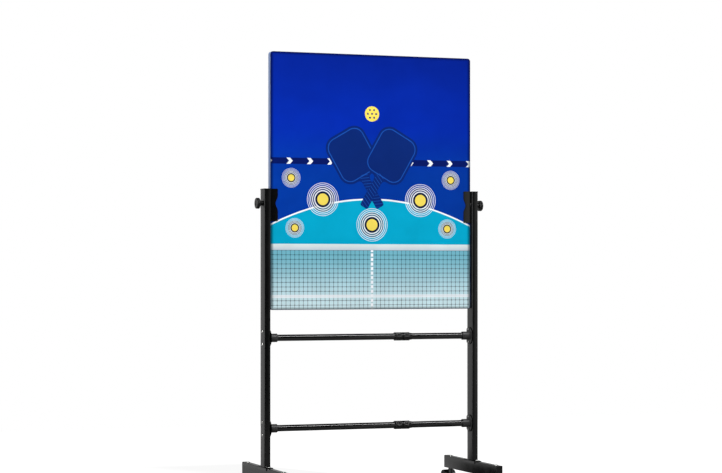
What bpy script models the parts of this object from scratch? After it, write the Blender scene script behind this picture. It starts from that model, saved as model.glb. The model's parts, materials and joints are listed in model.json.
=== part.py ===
"""Rebound board for paddle sports: a printed panel that tilts between the posts of a wheeled stand.

The frame has its origin on the floor under the middle of the stand, with +X to the right of a
player who faces the board, +Y to the rear and +Z up. All sizes are in metres.
"""

import math

import bmesh
import bpy
from mathutils import Matrix, Vector

# Clearances, and how far a cutter runs past what it cuts
SEAT_GAP = 0.0003
RUN_GAP = 0.0003
CUT_OVERRUN = 0.010

# Steps of a full turn, of a round corner and of the clamp's waist
WHEEL_STEPS = 24
ROUND_STEPS = 20
MEDIUM_STEPS = 16
SMALL_STEPS = 12
CORNER_STEPS = 3
WAIST_STEPS = 10

# Panel
PANEL_WIDTH = 0.840
PANEL_HEIGHT = 1.000
PANEL_CORNER_RADIUS = 0.012
CORE_THICKNESS = 0.0224
SHEET_THICKNESS = 0.0010
BAND_THICKNESS = 0.0012
PIVOT_ABOVE_PANEL_EDGE = 0.412

# Clamps and pivot studs
CLAMP_METAL = 0.0012
CLAMP_REACH = 0.0302
CLAMP_WAIST_DEPTH = 0.0090
CLAMP_WAIST_HALF_HEIGHT = 0.030
CLAMP_ABOVE_PIVOT = 0.0565
CLAMP_BELOW_PIVOT = 0.0690
STUD_DIAMETER = 0.012
STUD_TIP_CHAMFER = 0.0010
STUD_COLLAR_DIAMETER = 0.026
STUD_COLLAR_THICKNESS = 0.0008

# Clamping knobs
KNOB_DIAMETER = 0.042
KNOB_HEAD_THICKNESS = 0.0135
KNOB_HUB_DIAMETER = 0.019
KNOB_HUB_LENGTH = 0.0125
KNOB_EDGE = 0.0014
KNOB_END_WALL = 0.0060
KNOB_FLUTES = 8
KNOB_FLUTE_RADIUS = 0.0045
KNOB_FLUTE_DEPTH = 0.0020

# Posts
POST_WIDTH = 0.025
POST_DEPTH = 0.050
POST_WALL = 0.0015
TUBE_CORNER_RADIUS = 0.002
POST_ABOVE_PIVOT = 0.0530
CAP_THICKNESS = 0.0035
CAP_RIM = 0.0010
CAP_PLUG_LENGTH = 0.014
CAP_EDGE_RADIUS = 0.0010

# Feet and saddles
FOOT_WIDTH = 0.025
FOOT_HEIGHT = 0.050
FOOT_LENGTH = 0.520
FOOT_WALL = 0.0015
FOOT_CAP_THICKNESS = 0.0030
FOOT_CAP_RIM = 0.0005
SADDLE_LENGTH = 0.104
SADDLE_METAL = 0.0022
SADDLE_LIP = 0.0090

# Rails, their sockets and bolts
RAIL_DIAMETER = 0.025
RAIL_WALL = 0.0012
RAIL_TAPER_LENGTH = 0.003
LOWER_RAIL_ABOVE_FOOT = 0.150
RAIL_SPACING = 0.350
PANEL_ABOVE_UPPER_RAIL = 0.108
SPIGOT_LENGTH = 0.300
SOCKET_LENGTH = 0.0335
SOCKET_FLOOR = 0.0085
SOCKET_WALL = 0.0037
SOCKET_RIM_MARGIN = 0.0090
SOCKET_FLANGE_THICKNESS = 0.0032
SOCKET_FILLET = 0.0020
SOCKET_CHAMFER = 0.0010
BOLT_DIAMETER = 0.006
BOLT_FROM_BOSS = 0.0085
BOLT_HEAD_DIAMETER = 0.0125
BOLT_HEAD_HEIGHT = 0.0036
BOLT_END = 0.0012
BOLT_NUT_HEIGHT = 0.0028

# Twist locks
LOCK_START = 0.0983
LOCK_NUT_WALL = 0.0025
LOCK_NUT_END_WALL = 0.0116
LOCK_COLLAR_LENGTH = 0.0300
LOCK_COLLAR_STOP = 0.0030
LOCK_GROOVE = 0.0045
LOCK_NUT_LENGTH = 0.0287
LOCK_SLEEVE_LENGTH = 0.0093
LOCK_SLEEVE_WALL = 0.0008
LOCK_NOSE_WALL = 0.0024
LOCK_CHAMFER = 0.0012

# Casters
WHEEL_DIAMETER = 0.050
WHEEL_WIDTH = 0.0155
WHEEL_RIM = 0.0080
WHEEL_RECESS_DEPTH = 0.0030
WHEEL_EDGE = 0.0022
WHEEL_SIDE_GAP = 0.0006
AXLE_DIAMETER = 0.0060
CASTER_TRAIL = 0.024
CASTER_FROM_FOOT_END = 0.034
HOOD_WEB_WALL = 0.0034
HOOD_WEB_DIAMETER = 0.036
HOOD_RIB_BACK = 0.0060
FENDER_CLEARANCE = 0.0012
FENDER_THICKNESS = 0.0022
FENDER_START = math.radians(12)
FENDER_END = math.radians(152)
FENDER_STEPS = 12
HOUSING_WALL = 0.0065
HOUSING_ABOVE_WHEEL = 0.008
HOUSING_BELOW_AXLE = 0.008
STEM_DIAMETER = 0.010
STEM_PIN_DIAMETER = 0.008
STEM_COLLAR_STEP = 0.0035
STEM_COLLAR_HEIGHT = 0.0034
STEM_SEAT_DEPTH = 0.026
STEM_ABOVE_FOOT = 0.0020

# Brake pedals
PEDAL_WIDTH = 0.018
PEDAL_LENGTH = 0.021
PEDAL_THICKNESS = 0.0026
PEDAL_BARREL_DIAMETER = 0.0050
PEDAL_PIN_DIAMETER = 0.0024
PEDAL_RISE = math.radians(24)
EAR_WIDTH = 0.0030
EAR_DIAMETER = 0.0080

# Sizes that follow from the ones above
PANEL_THICKNESS = CORE_THICKNESS + 2 * (SEAT_GAP + SHEET_THICKNESS)
CLAMP_WEB_X = PANEL_WIDTH / 2 + SEAT_GAP
STUD_SEAT_X = CLAMP_WEB_X + CLAMP_METAL + SEAT_GAP
POST_INNER_X = STUD_SEAT_X + STUD_COLLAR_THICKNESS + RUN_GAP
POST_X = POST_INNER_X + POST_WIDTH / 2
POST_OUTER_X = POST_INNER_X + POST_WIDTH
FACET_HALF_ANGLE = math.pi / WHEEL_STEPS
AXLE_Z = WHEEL_DIAMETER / 2 * math.cos(FACET_HALF_ANGLE)
HOUSING_ABOVE_AXLE = WHEEL_DIAMETER / 2 + HOUSING_ABOVE_WHEEL
HOUSING_TOP_Z = AXLE_Z + HOUSING_ABOVE_AXLE
FOOT_BOTTOM_Z = HOUSING_TOP_Z + RUN_GAP + STEM_COLLAR_HEIGHT + SEAT_GAP
FOOT_TOP_Z = FOOT_BOTTOM_Z + FOOT_HEIGHT
LOWER_RAIL_Z = FOOT_TOP_Z + LOWER_RAIL_ABOVE_FOOT
UPPER_RAIL_Z = LOWER_RAIL_Z + RAIL_SPACING
RAIL_HEIGHTS = {"upper": UPPER_RAIL_Z, "lower": LOWER_RAIL_Z}
PANEL_BOTTOM_Z = UPPER_RAIL_Z + PANEL_ABOVE_UPPER_RAIL
PANEL_CENTRE_Z = PANEL_BOTTOM_Z + PANEL_HEIGHT / 2
PIVOT_Z = PANEL_BOTTOM_Z + PIVOT_ABOVE_PANEL_EDGE
SADDLE_TOP_Z = FOOT_TOP_Z + SEAT_GAP + SADDLE_METAL
POST_BOTTOM_Z = SADDLE_TOP_Z + SEAT_GAP
POST_TOP_Z = PIVOT_Z + POST_ABOVE_PIVOT
KNOB_BORE_DEPTH = KNOB_HUB_LENGTH + KNOB_HEAD_THICKNESS - KNOB_END_WALL
SOCKET_FACE_X = POST_INNER_X - SEAT_GAP
RAIL_END_X = SOCKET_FACE_X - SOCKET_FLOOR - SEAT_GAP
RAIL_RADIUS = RAIL_DIAMETER / 2
RAIL_BORE_RADIUS = RAIL_RADIUS + SEAT_GAP
SOCKET_BOSS_RADIUS = RAIL_BORE_RADIUS + SOCKET_WALL
BOLT_SPACING = 2 * (SOCKET_BOSS_RADIUS + BOLT_FROM_BOSS)
SOCKET_RIM_RADIUS = BOLT_SPACING / 2 + SOCKET_RIM_MARGIN
SPIGOT_RADIUS = RAIL_RADIUS - RAIL_WALL - RUN_GAP
SPIGOT_BORE_RADIUS = SPIGOT_RADIUS + RUN_GAP
NOSE_RADIUS = SPIGOT_BORE_RADIUS + LOCK_NOSE_WALL
NUT_BORE_RADIUS = NOSE_RADIUS + RUN_GAP
LOCK_RADIUS = NUT_BORE_RADIUS + LOCK_NUT_WALL
LOCK_COLLAR_SEAT = LOCK_COLLAR_LENGTH - LOCK_COLLAR_STOP
NUT_START = LOCK_COLLAR_LENGTH + LOCK_GROOVE
NUT_END = NUT_START + LOCK_NUT_LENGTH
NOSE_END = NUT_END - LOCK_NUT_END_WALL - SEAT_GAP
SHOULDER_X = LOCK_START + NOSE_END + 2 * SEAT_GAP
CASTER_Y = FOOT_LENGTH / 2 - CASTER_FROM_FOOT_END
STEM_HOLE_RADIUS = STEM_DIAMETER / 2 + SEAT_GAP
BOLT_HOLE_RADIUS = BOLT_DIAMETER / 2 + SEAT_GAP
HOOD_WEB_THICKNESS = STEM_PIN_DIAMETER + 2 * HOOD_WEB_WALL
WHEEL_OFFSET = HOOD_WEB_THICKNESS / 2 + WHEEL_SIDE_GAP
HOOD_WIDTH = 2 * (WHEEL_OFFSET + WHEEL_WIDTH)
FENDER_INNER_RADIUS = WHEEL_DIAMETER / 2 + FENDER_CLEARANCE
FENDER_OUTER_RADIUS = FENDER_INNER_RADIUS + FENDER_THICKNESS
WHEEL_ROOM_RADIUS = WHEEL_DIAMETER / 2 + FENDER_CLEARANCE / 2
PEDAL_PIVOT_RADIUS = FENDER_INNER_RADIUS + PEDAL_BARREL_DIAMETER / 2
PEDAL_NOTCH_WIDTH = PEDAL_WIDTH + 2 * RUN_GAP
SIDES = {"left": -1, "right": 1}
ENDS = {"front": -1, "rear": 1}
BRAKED = {("left", "front"), ("right", "rear")}

# Colour, roughness and metallic value of each finish
FINISHES = {
    "powder_coat": ((0.020, 0.020, 0.021, 1.0), 0.42, 0.0),
    "moulded_black": ((0.014, 0.014, 0.015, 1.0), 0.48, 0.0),
    "bright_bolt": ((0.62, 0.62, 0.60, 1.0), 0.28, 1.0),
    "dark_steel": ((0.10, 0.10, 0.105, 1.0), 0.38, 1.0),
    "panel_print": ((0.005, 0.050, 0.420, 1.0), 0.22, 0.0),
    "panel_edge": ((0.55, 0.60, 0.74, 1.0), 0.40, 0.0),
    "panel_core": ((0.50, 0.36, 0.21, 1.0), 0.80, 0.0),
    "wheel_tread": ((0.030, 0.030, 0.031, 1.0), 0.62, 0.0),
}

ALONG_X = Matrix.Rotation(math.radians(90), 4, "Y")
AGAINST_X = Matrix.Rotation(math.radians(-90), 4, "Y")
STANDING = Matrix.Rotation(math.radians(90), 4, "X")


def clear_scene():
    """Removes every object, so that the script starts from an empty scene."""
    for obj in list(bpy.data.objects):
        bpy.data.objects.remove(obj, do_unlink=True)


def new_collection(name):
    """Makes a collection in the scene."""
    collection = bpy.data.collections.new(name)
    bpy.context.scene.collection.children.link(collection)
    return collection


clear_scene()
PARTS = new_collection("rebound_board")
CUTTERS = new_collection("cutters")


def at(x, y, z):
    """The matrix of a plain move."""
    return Matrix.Translation(Vector((x, y, z)))


def outward(side, x, y, z):
    """The matrix that lays a turned piece along X, its top away from the middle of the stand."""
    return at(side * x, y, z) @ (ALONG_X if side > 0 else AGAINST_X)


def inward(side, x, y, z):
    """The matrix that lays a turned piece along X, its top towards the middle of the stand."""
    return at(side * x, y, z) @ (AGAINST_X if side > 0 else ALONG_X)


def dress(obj, finish):
    """Gives a piece a material of its own, with the colour and gloss of its finish."""
    colour, roughness, metallic = FINISHES[finish]
    material = bpy.data.materials.new(f"{obj.name}_{finish}")
    material.use_nodes = True
    shader = material.node_tree.nodes["Principled BSDF"]
    shader.inputs["Base Color"].default_value = colour
    shader.inputs["Roughness"].default_value = roughness
    shader.inputs["Metallic"].default_value = metallic
    obj.data.materials.clear()
    obj.data.materials.append(material)
    return obj


def add_object(name, data, matrix, collection):
    """Puts mesh or curve data into the scene at a place."""
    obj = bpy.data.objects.new(name, data)
    collection.objects.link(obj)
    obj.matrix_world = matrix
    if collection is CUTTERS:
        obj.hide_render = True
        obj.display_type = "WIRE"
    return obj


def as_mesh(obj, smooth=False):
    """Replaces an object by the mesh that it evaluates to, with its loose caps joined."""
    bpy.context.view_layer.update()
    evaluated = obj.evaluated_get(bpy.context.evaluated_depsgraph_get())
    mesh = bpy.data.meshes.new_from_object(evaluated)
    shape = bmesh.new()
    shape.from_mesh(mesh)
    bmesh.ops.remove_doubles(shape, verts=shape.verts, dist=1e-6)
    bmesh.ops.recalc_face_normals(shape, faces=shape.faces)
    shape.to_mesh(mesh)
    shape.free()
    if smooth:
        mesh.shade_smooth()
        mesh.set_sharp_from_angle(angle=math.radians(35))
    name = obj.name
    collection = obj.users_collection[0]
    matrix = obj.matrix_world.copy()
    bpy.data.objects.remove(obj, do_unlink=True)
    mesh.name = name
    return add_object(name, mesh, matrix, collection)


def rounded_rectangle(width, height, radius):
    """Points of a rectangle with round corners, counter-clockwise about its middle."""
    points = []
    corners = ((1, 1), (-1, 1), (-1, -1), (1, -1))
    for quarter, (sign_x, sign_y) in enumerate(corners):
        centre_x = sign_x * (width / 2 - radius)
        centre_y = sign_y * (height / 2 - radius)
        for step in range(CORNER_STEPS + 1):
            angle = math.pi / 2 * (quarter + step / CORNER_STEPS)
            points.append((centre_x + radius * math.cos(angle), centre_y + radius * math.sin(angle)))
    return points


def extruded(name, outline, thickness, matrix, collection=PARTS):
    """A flat outline drawn out to a thickness about its own plane."""
    curve = bpy.data.curves.new(name, "CURVE")
    curve.dimensions = "2D"
    curve.fill_mode = "BOTH"
    curve.extrude = thickness / 2
    spline = curve.splines.new("POLY")
    spline.points.add(len(outline) - 1)
    for point, (x, y) in zip(spline.points, outline):
        point.co = (x, y, 0.0, 1.0)
    spline.use_cyclic_u = True
    return as_mesh(add_object(name, curve, matrix, collection))


def turned(name, profile, matrix, ring=False, steps=ROUND_STEPS):
    """A profile of radius and height turned about its own Z axis. A ring's profile closes on itself."""
    mesh = bpy.data.meshes.new(name)
    points = [(radius, 0.0, height) for radius, height in profile]
    edges = [(index, index + 1) for index in range(len(points) - 1)]
    if ring:
        edges.append((len(points) - 1, 0))
    mesh.from_pydata(points, edges, [])
    obj = add_object(name, mesh, matrix, PARTS)
    screw = obj.modifiers.new("turn", "SCREW")
    screw.steps = steps
    screw.render_steps = steps
    screw.use_merge_vertices = True
    screw.merge_threshold = 1e-6
    return as_mesh(obj, smooth=True)


def cylinder(name, radius, length, matrix, steps=SMALL_STEPS, collection=CUTTERS):
    """A plain cylinder about its own Z axis."""
    mesh = bpy.data.meshes.new(name)
    shape = bmesh.new()
    bmesh.ops.create_cone(
        shape, cap_ends=True, segments=steps, radius1=radius, radius2=radius, depth=length
    )
    shape.to_mesh(mesh)
    shape.free()
    return add_object(name, mesh, matrix, collection)


def block(name, size, matrix):
    """A plain box about its own middle, for cutting or joining."""
    mesh = bpy.data.meshes.new(name)
    shape = bmesh.new()
    bmesh.ops.create_cube(shape, size=1.0)
    bmesh.ops.scale(shape, vec=Vector(size), verts=shape.verts)
    shape.to_mesh(mesh)
    shape.free()
    return add_object(name, mesh, matrix, CUTTERS)


def combine(target, tool, operation):
    """Joins a tool to a piece, or cuts it out of the piece."""
    modifier = target.modifiers.new(tool.name, "BOOLEAN")
    modifier.operation = operation
    modifier.solver = "EXACT"
    modifier.object = tool


def bevelled(obj, width):
    """Rounds the sharp edges of a piece."""
    modifier = obj.modifiers.new("edge", "BEVEL")
    modifier.width = width
    modifier.segments = 1
    modifier.limit_method = "ANGLE"
    modifier.angle_limit = math.radians(50)
    return as_mesh(obj)


def axis_empty(name, place, parent=None):
    """An empty on a joint's axis, which carries the pieces that move about it."""
    empty = bpy.data.objects.new(name, None)
    empty.empty_display_size = 0.03
    PARTS.objects.link(empty)
    empty.location = place
    if parent:
        empty.parent = parent
        empty.matrix_parent_inverse = Matrix.Translation(parent["axis_place"]).inverted()
    empty["axis_place"] = place
    return empty


def carry(empty, pieces):
    """Parents pieces to an empty without moving them."""
    for piece in pieces:
        piece.parent = empty
        piece.matrix_parent_inverse = Matrix.Translation(Vector(empty["axis_place"])).inverted()


def panel_outline(inset):
    """The panel's outline, drawn in by an inset."""
    return rounded_rectangle(
        PANEL_WIDTH - 2 * inset, PANEL_HEIGHT - 2 * inset, PANEL_CORNER_RADIUS - inset
    )


def build_core():
    """The panel's stiff core."""
    outline = panel_outline(BAND_THICKNESS + SEAT_GAP)
    core = extruded("board_core", outline, CORE_THICKNESS, at(0, 0, PANEL_CENTRE_Z) @ STANDING)
    return dress(core, "panel_core")


def build_sheet(name, facing):
    """A printed hard sheet on one face of the core."""
    outline = panel_outline(BAND_THICKNESS + SEAT_GAP)
    y = facing * (CORE_THICKNESS / 2 + SEAT_GAP + SHEET_THICKNESS / 2)
    sheet = extruded(name, outline, SHEET_THICKNESS, at(0, y, PANEL_CENTRE_Z) @ STANDING)
    return dress(sheet, "panel_print")


def build_edge_band():
    """The pale band round the panel's edge."""
    place = at(0, 0, PANEL_CENTRE_Z) @ STANDING
    band = extruded("board_edge_band", panel_outline(0.0), PANEL_THICKNESS, place)
    inside = panel_outline(BAND_THICKNESS)
    combine(band, extruded("band_inside", inside, 2 * PANEL_THICKNESS, place, CUTTERS), "DIFFERENCE")
    return dress(band, "panel_edge")


def clamp_outline(side):
    """A clamp seen from the front: straight at the post, with a waisted inner edge."""
    outer = CLAMP_WEB_X + CLAMP_METAL
    inner = PANEL_WIDTH / 2 - CLAMP_REACH
    points = [(outer, -CLAMP_BELOW_PIVOT), (outer, CLAMP_ABOVE_PIVOT), (inner, CLAMP_ABOVE_PIVOT)]
    for step in range(WAIST_STEPS + 1):
        along = 1 - 2 * step / WAIST_STEPS
        dip = CLAMP_WAIST_DEPTH * (1 + math.cos(math.pi * along)) / 2
        points.append((inner + dip, CLAMP_WAIST_HALF_HEIGHT * along))
    points.append((inner, -CLAMP_BELOW_PIVOT))
    return [(side * x, z) for x, z in points]


def build_clamp(label, side):
    """A folded steel channel that grips the panel's side edge."""
    channel = PANEL_THICKNESS + 2 * SEAT_GAP
    depth = channel + 2 * CLAMP_METAL
    place = at(0, 0, PIVOT_Z) @ STANDING
    clamp = extruded(f"{label}_clamp", clamp_outline(side), depth, place)
    slot_length = CLAMP_REACH + CUT_OVERRUN
    slot_height = 2 * (max(CLAMP_ABOVE_PIVOT, CLAMP_BELOW_PIVOT) + CUT_OVERRUN)
    slot_x = side * (CLAMP_WEB_X - slot_length / 2)
    slot = block(f"{label}_clamp_slot", (slot_length, channel, slot_height), at(slot_x, 0, PIVOT_Z))
    combine(clamp, slot, "DIFFERENCE")
    return dress(clamp, "powder_coat")


def build_stud(label, side):
    """The stud that a clamp turns on, welded to the clamp by its collar."""
    radius = STUD_DIAMETER / 2
    length = POST_OUTER_X + RUN_GAP + KNOB_BORE_DEPTH - SEAT_GAP - STUD_SEAT_X
    profile = [
        (0, length),
        (radius - STUD_TIP_CHAMFER, length),
        (radius, length - STUD_TIP_CHAMFER),
        (radius, STUD_COLLAR_THICKNESS),
        (STUD_COLLAR_DIAMETER / 2, STUD_COLLAR_THICKNESS),
        (STUD_COLLAR_DIAMETER / 2, 0),
        (0, 0),
    ]
    place = outward(side, STUD_SEAT_X, 0, PIVOT_Z)
    return dress(turned(f"{label}_pivot_stud", profile, place, steps=MEDIUM_STEPS), "dark_steel")


def build_knob(label, side):
    """A fluted clamping knob with a blind bore for the stud."""
    radius = KNOB_DIAMETER / 2
    top = KNOB_HUB_LENGTH + KNOB_HEAD_THICKNESS
    bore = STUD_DIAMETER / 2 + RUN_GAP
    profile = [
        (0, top),
        (radius - 2 * KNOB_EDGE, top),
        (radius, top - KNOB_EDGE),
        (radius, KNOB_HUB_LENGTH + KNOB_EDGE),
        (radius - KNOB_EDGE, KNOB_HUB_LENGTH),
        (KNOB_HUB_DIAMETER / 2, KNOB_HUB_LENGTH),
        (KNOB_HUB_DIAMETER / 2, 0),
        (bore, 0),
        (bore, KNOB_BORE_DEPTH),
        (0, KNOB_BORE_DEPTH),
    ]
    place = outward(side, POST_OUTER_X + RUN_GAP, 0, PIVOT_Z)
    knob = turned(f"{label}_clamping_knob", profile, place)
    for index in range(KNOB_FLUTES):
        angle = 2 * math.pi * (index + 0.5) / KNOB_FLUTES
        reach = radius + KNOB_FLUTE_RADIUS - KNOB_FLUTE_DEPTH
        move = at(reach * math.cos(angle), reach * math.sin(angle), top)
        length = 2 * (KNOB_HEAD_THICKNESS + CUT_OVERRUN)
        flute = cylinder(f"{label}_knob_flute_{index}", KNOB_FLUTE_RADIUS, length, place @ move)
        combine(knob, flute, "DIFFERENCE")
    return dress(knob, "moulded_black")


def rectangular_tube(name, width, height, wall, length, matrix):
    """A tube with round corners, open at both ends."""
    outer = rounded_rectangle(width, height, TUBE_CORNER_RADIUS)
    inner = rounded_rectangle(width - 2 * wall, height - 2 * wall, TUBE_CORNER_RADIUS - wall / 2)
    tube = extruded(name, outer, length, matrix)
    bore = extruded(f"{name}_bore", inner, length + 2 * CUT_OVERRUN, matrix, CUTTERS)
    combine(tube, bore, "DIFFERENCE")
    return tube


def build_post(label, side):
    """A rectangular post, drilled for the pivot stud and the rail bolts."""
    length = POST_TOP_Z - POST_BOTTOM_Z
    place = at(side * POST_X, 0, POST_BOTTOM_Z + length / 2)
    post = rectangular_tube(f"{label}_post", POST_WIDTH, POST_DEPTH, POST_WALL, length, place)
    drill = POST_WIDTH + 2 * CUT_OVERRUN
    pivot_hole_radius = STUD_DIAMETER / 2 + RUN_GAP
    where = at(side * POST_X, 0, PIVOT_Z) @ ALONG_X
    hole = cylinder(f"{label}_pivot_hole", pivot_hole_radius, drill, where, MEDIUM_STEPS)
    combine(post, hole, "DIFFERENCE")
    for level, height in RAIL_HEIGHTS.items():
        for row in (-1, 1):
            z = height + row * BOLT_SPACING / 2
            name = f"{label}_{level}_bolt_hole_{row}"
            hole = cylinder(name, BOLT_HOLE_RADIUS, drill, at(side * POST_X, 0, z) @ ALONG_X)
            combine(post, hole, "DIFFERENCE")
    return dress(post, "powder_coat")


def build_cap(name, width, height, wall, thickness, rim, matrix):
    """A moulded cap: a plate a little wider than the tube, with a plug inside the tube."""
    outline = rounded_rectangle(width + 2 * rim, height + 2 * rim, TUBE_CORNER_RADIUS + rim)
    lift = Matrix.Translation((0, 0, SEAT_GAP + thickness / 2))
    plate = bevelled(extruded(name, outline, thickness, matrix @ lift), CAP_EDGE_RADIUS)
    play = wall + SEAT_GAP
    plug_outline = rounded_rectangle(width - 2 * play, height - 2 * play, TUBE_CORNER_RADIUS - wall / 2)
    plug_length = CAP_PLUG_LENGTH + SEAT_GAP + thickness / 2
    drop = Matrix.Translation((0, 0, plug_length / 2 - CAP_PLUG_LENGTH))
    plug = extruded(f"{name}_plug", plug_outline, plug_length, matrix @ drop, CUTTERS)
    combine(plate, plug, "UNION")
    return dress(plate, "moulded_black")


def build_foot(label, side):
    """A rectangular foot, drilled for the caster stems."""
    centre_z = FOOT_BOTTOM_Z + FOOT_HEIGHT / 2
    place = at(side * POST_X, 0, centre_z) @ STANDING
    foot = rectangular_tube(f"{label}_foot", FOOT_WIDTH, FOOT_HEIGHT, FOOT_WALL, FOOT_LENGTH, place)
    drill = FOOT_HEIGHT + 2 * CUT_OVERRUN
    for end, direction in ENDS.items():
        where = at(side * POST_X, direction * CASTER_Y, centre_z)
        hole = cylinder(f"{label}_{end}_stem_hole", STEM_HOLE_RADIUS, drill, where, MEDIUM_STEPS)
        combine(foot, hole, "DIFFERENCE")
    return dress(foot, "powder_coat")


def build_foot_cap(label, side, end, direction):
    """The cap in one end of a foot."""
    turn = Matrix.Rotation(math.radians(-90 * direction), 4, "X")
    place = at(side * POST_X, direction * FOOT_LENGTH / 2, FOOT_BOTTOM_Z + FOOT_HEIGHT / 2) @ turn
    name = f"{label}_foot_{end}_cap"
    return build_cap(name, FOOT_WIDTH, FOOT_HEIGHT, FOOT_WALL, FOOT_CAP_THICKNESS, FOOT_CAP_RIM, place)


def build_saddle(label, side):
    """The saddle plate under a post, with a lip folded down each side of the foot."""
    inner = FOOT_WIDTH / 2 + SEAT_GAP
    outer = inner + SADDLE_METAL
    low = -SEAT_GAP - SADDLE_LIP
    outline = [(-outer, SADDLE_METAL), (-outer, low), (-inner, low), (-inner, 0)]
    outline += [(-x, z) for x, z in reversed(outline)]
    place = at(side * POST_X, 0, FOOT_TOP_Z + SEAT_GAP) @ STANDING
    return dress(extruded(f"{label}_saddle", outline, SADDLE_LENGTH, place), "powder_coat")


def build_socket(label, side, level, height):
    """A flanged socket bolted to a post, cut off flush with the post's rear face."""
    profile = [
        (0, SOCKET_FLOOR),
        (RAIL_BORE_RADIUS, SOCKET_FLOOR),
        (RAIL_BORE_RADIUS, SOCKET_LENGTH),
        (SOCKET_BOSS_RADIUS - SOCKET_CHAMFER, SOCKET_LENGTH),
        (SOCKET_BOSS_RADIUS, SOCKET_LENGTH - SOCKET_CHAMFER),
        (SOCKET_BOSS_RADIUS, SOCKET_FLANGE_THICKNESS + SOCKET_FILLET),
        (SOCKET_BOSS_RADIUS + SOCKET_FILLET, SOCKET_FLANGE_THICKNESS),
        (SOCKET_RIM_RADIUS, SOCKET_FLANGE_THICKNESS),
        (SOCKET_RIM_RADIUS, 0),
        (0, 0),
    ]
    name = f"{label}_{level}_rail_socket"
    socket = turned(name, profile, inward(side, SOCKET_FACE_X, 0, height))
    for row in (-1, 1):
        where = at(side * SOCKET_FACE_X, 0, height + row * BOLT_SPACING / 2) @ ALONG_X
        hole = cylinder(f"{name}_hole_{row}", BOLT_HOLE_RADIUS, 2 * SOCKET_LENGTH, where)
        combine(socket, hole, "DIFFERENCE")
    width = 2 * (SOCKET_RIM_RADIUS + CUT_OVERRUN)
    behind = at(side * SOCKET_FACE_X, (POST_DEPTH + width) / 2, height)
    combine(socket, block(f"{name}_rear_cut", (2 * SOCKET_LENGTH, width, width), behind), "DIFFERENCE")
    return dress(socket, "moulded_black")


def build_rail_bolt(label, side, level, row_name, z):
    """A domed bolt through a post and a socket's flange."""
    head = BOLT_HEAD_DIAMETER / 2
    length = SEAT_GAP + POST_WIDTH + SEAT_GAP + SOCKET_FLANGE_THICKNESS + BOLT_NUT_HEIGHT + BOLT_END
    profile = [(0, BOLT_HEAD_HEIGHT)]
    for degrees in (48, 90):
        angle = math.radians(degrees)
        profile.append((head * math.sin(angle), BOLT_HEAD_HEIGHT * math.cos(angle)))
    profile += [(BOLT_DIAMETER / 2, 0), (BOLT_DIAMETER / 2, -length), (0, -length)]
    name = f"{label}_{level}_rail_{row_name}_bolt"
    place = outward(side, POST_OUTER_X + SEAT_GAP, 0, z)
    return dress(turned(name, profile, place, steps=SMALL_STEPS), "bright_bolt")


def build_left_rail(level, height):
    """The outer tube of a rail, fixed in the left socket."""
    length = LOCK_START + LOCK_COLLAR_SEAT - SEAT_GAP + RAIL_END_X
    inner = RAIL_RADIUS - RAIL_WALL
    profile = [(RAIL_RADIUS, length), (RAIL_RADIUS, 0), (inner, 0), (inner, length)]
    place = at(-RAIL_END_X, 0, height) @ ALONG_X
    return dress(turned(f"{level}_left_rail", profile, place, ring=True), "powder_coat")


def build_right_rail(level, height):
    """The inner tube of a rail, with a narrowed spigot that slides in the outer tube."""
    length = RAIL_END_X - SHOULDER_X
    spigot_inner = SPIGOT_RADIUS - RAIL_WALL
    inner = RAIL_RADIUS - RAIL_WALL
    profile = [
        (RAIL_RADIUS, length),
        (RAIL_RADIUS, RAIL_TAPER_LENGTH),
        (SPIGOT_RADIUS, 0),
        (SPIGOT_RADIUS, -SPIGOT_LENGTH),
        (spigot_inner, -SPIGOT_LENGTH),
        (spigot_inner, 0),
        (inner, RAIL_TAPER_LENGTH),
        (inner, length),
    ]
    place = at(SHOULDER_X, 0, height) @ ALONG_X
    return dress(turned(f"{level}_right_rail", profile, place, ring=True), "powder_coat")


def build_lock_collar(level, height):
    """The fixed half of a twist lock, with a nose that reaches into the nut."""
    profile = [
        (NOSE_RADIUS, NOSE_END),
        (NOSE_RADIUS, LOCK_COLLAR_LENGTH),
        (LOCK_RADIUS, LOCK_COLLAR_LENGTH),
        (LOCK_RADIUS, LOCK_CHAMFER),
        (LOCK_RADIUS - LOCK_CHAMFER, 0),
        (RAIL_BORE_RADIUS, 0),
        (RAIL_BORE_RADIUS, LOCK_COLLAR_SEAT),
        (SPIGOT_BORE_RADIUS, LOCK_COLLAR_SEAT),
        (SPIGOT_BORE_RADIUS, NOSE_END),
    ]
    place = at(LOCK_START, 0, height) @ ALONG_X
    return dress(turned(f"{level}_lock_collar", profile, place, ring=True), "moulded_black")


def build_lock_nut(level, height):
    """The turning half of a twist lock, with a short sleeve round the inner tube."""
    sleeve = RAIL_BORE_RADIUS + LOCK_SLEEVE_WALL
    profile = [
        (sleeve, NUT_END + LOCK_SLEEVE_LENGTH),
        (sleeve, NUT_END),
        (LOCK_RADIUS - LOCK_CHAMFER, NUT_END),
        (LOCK_RADIUS, NUT_END - LOCK_CHAMFER),
        (LOCK_RADIUS, NUT_START),
        (NUT_BORE_RADIUS, NUT_START),
        (NUT_BORE_RADIUS, NOSE_END + SEAT_GAP),
        (RAIL_BORE_RADIUS, NOSE_END + SEAT_GAP),
        (RAIL_BORE_RADIUS, NUT_END + LOCK_SLEEVE_LENGTH),
    ]
    place = at(LOCK_START, 0, height) @ ALONG_X
    return dress(turned(f"{level}_lock_nut", profile, place, ring=True), "moulded_black")


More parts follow.
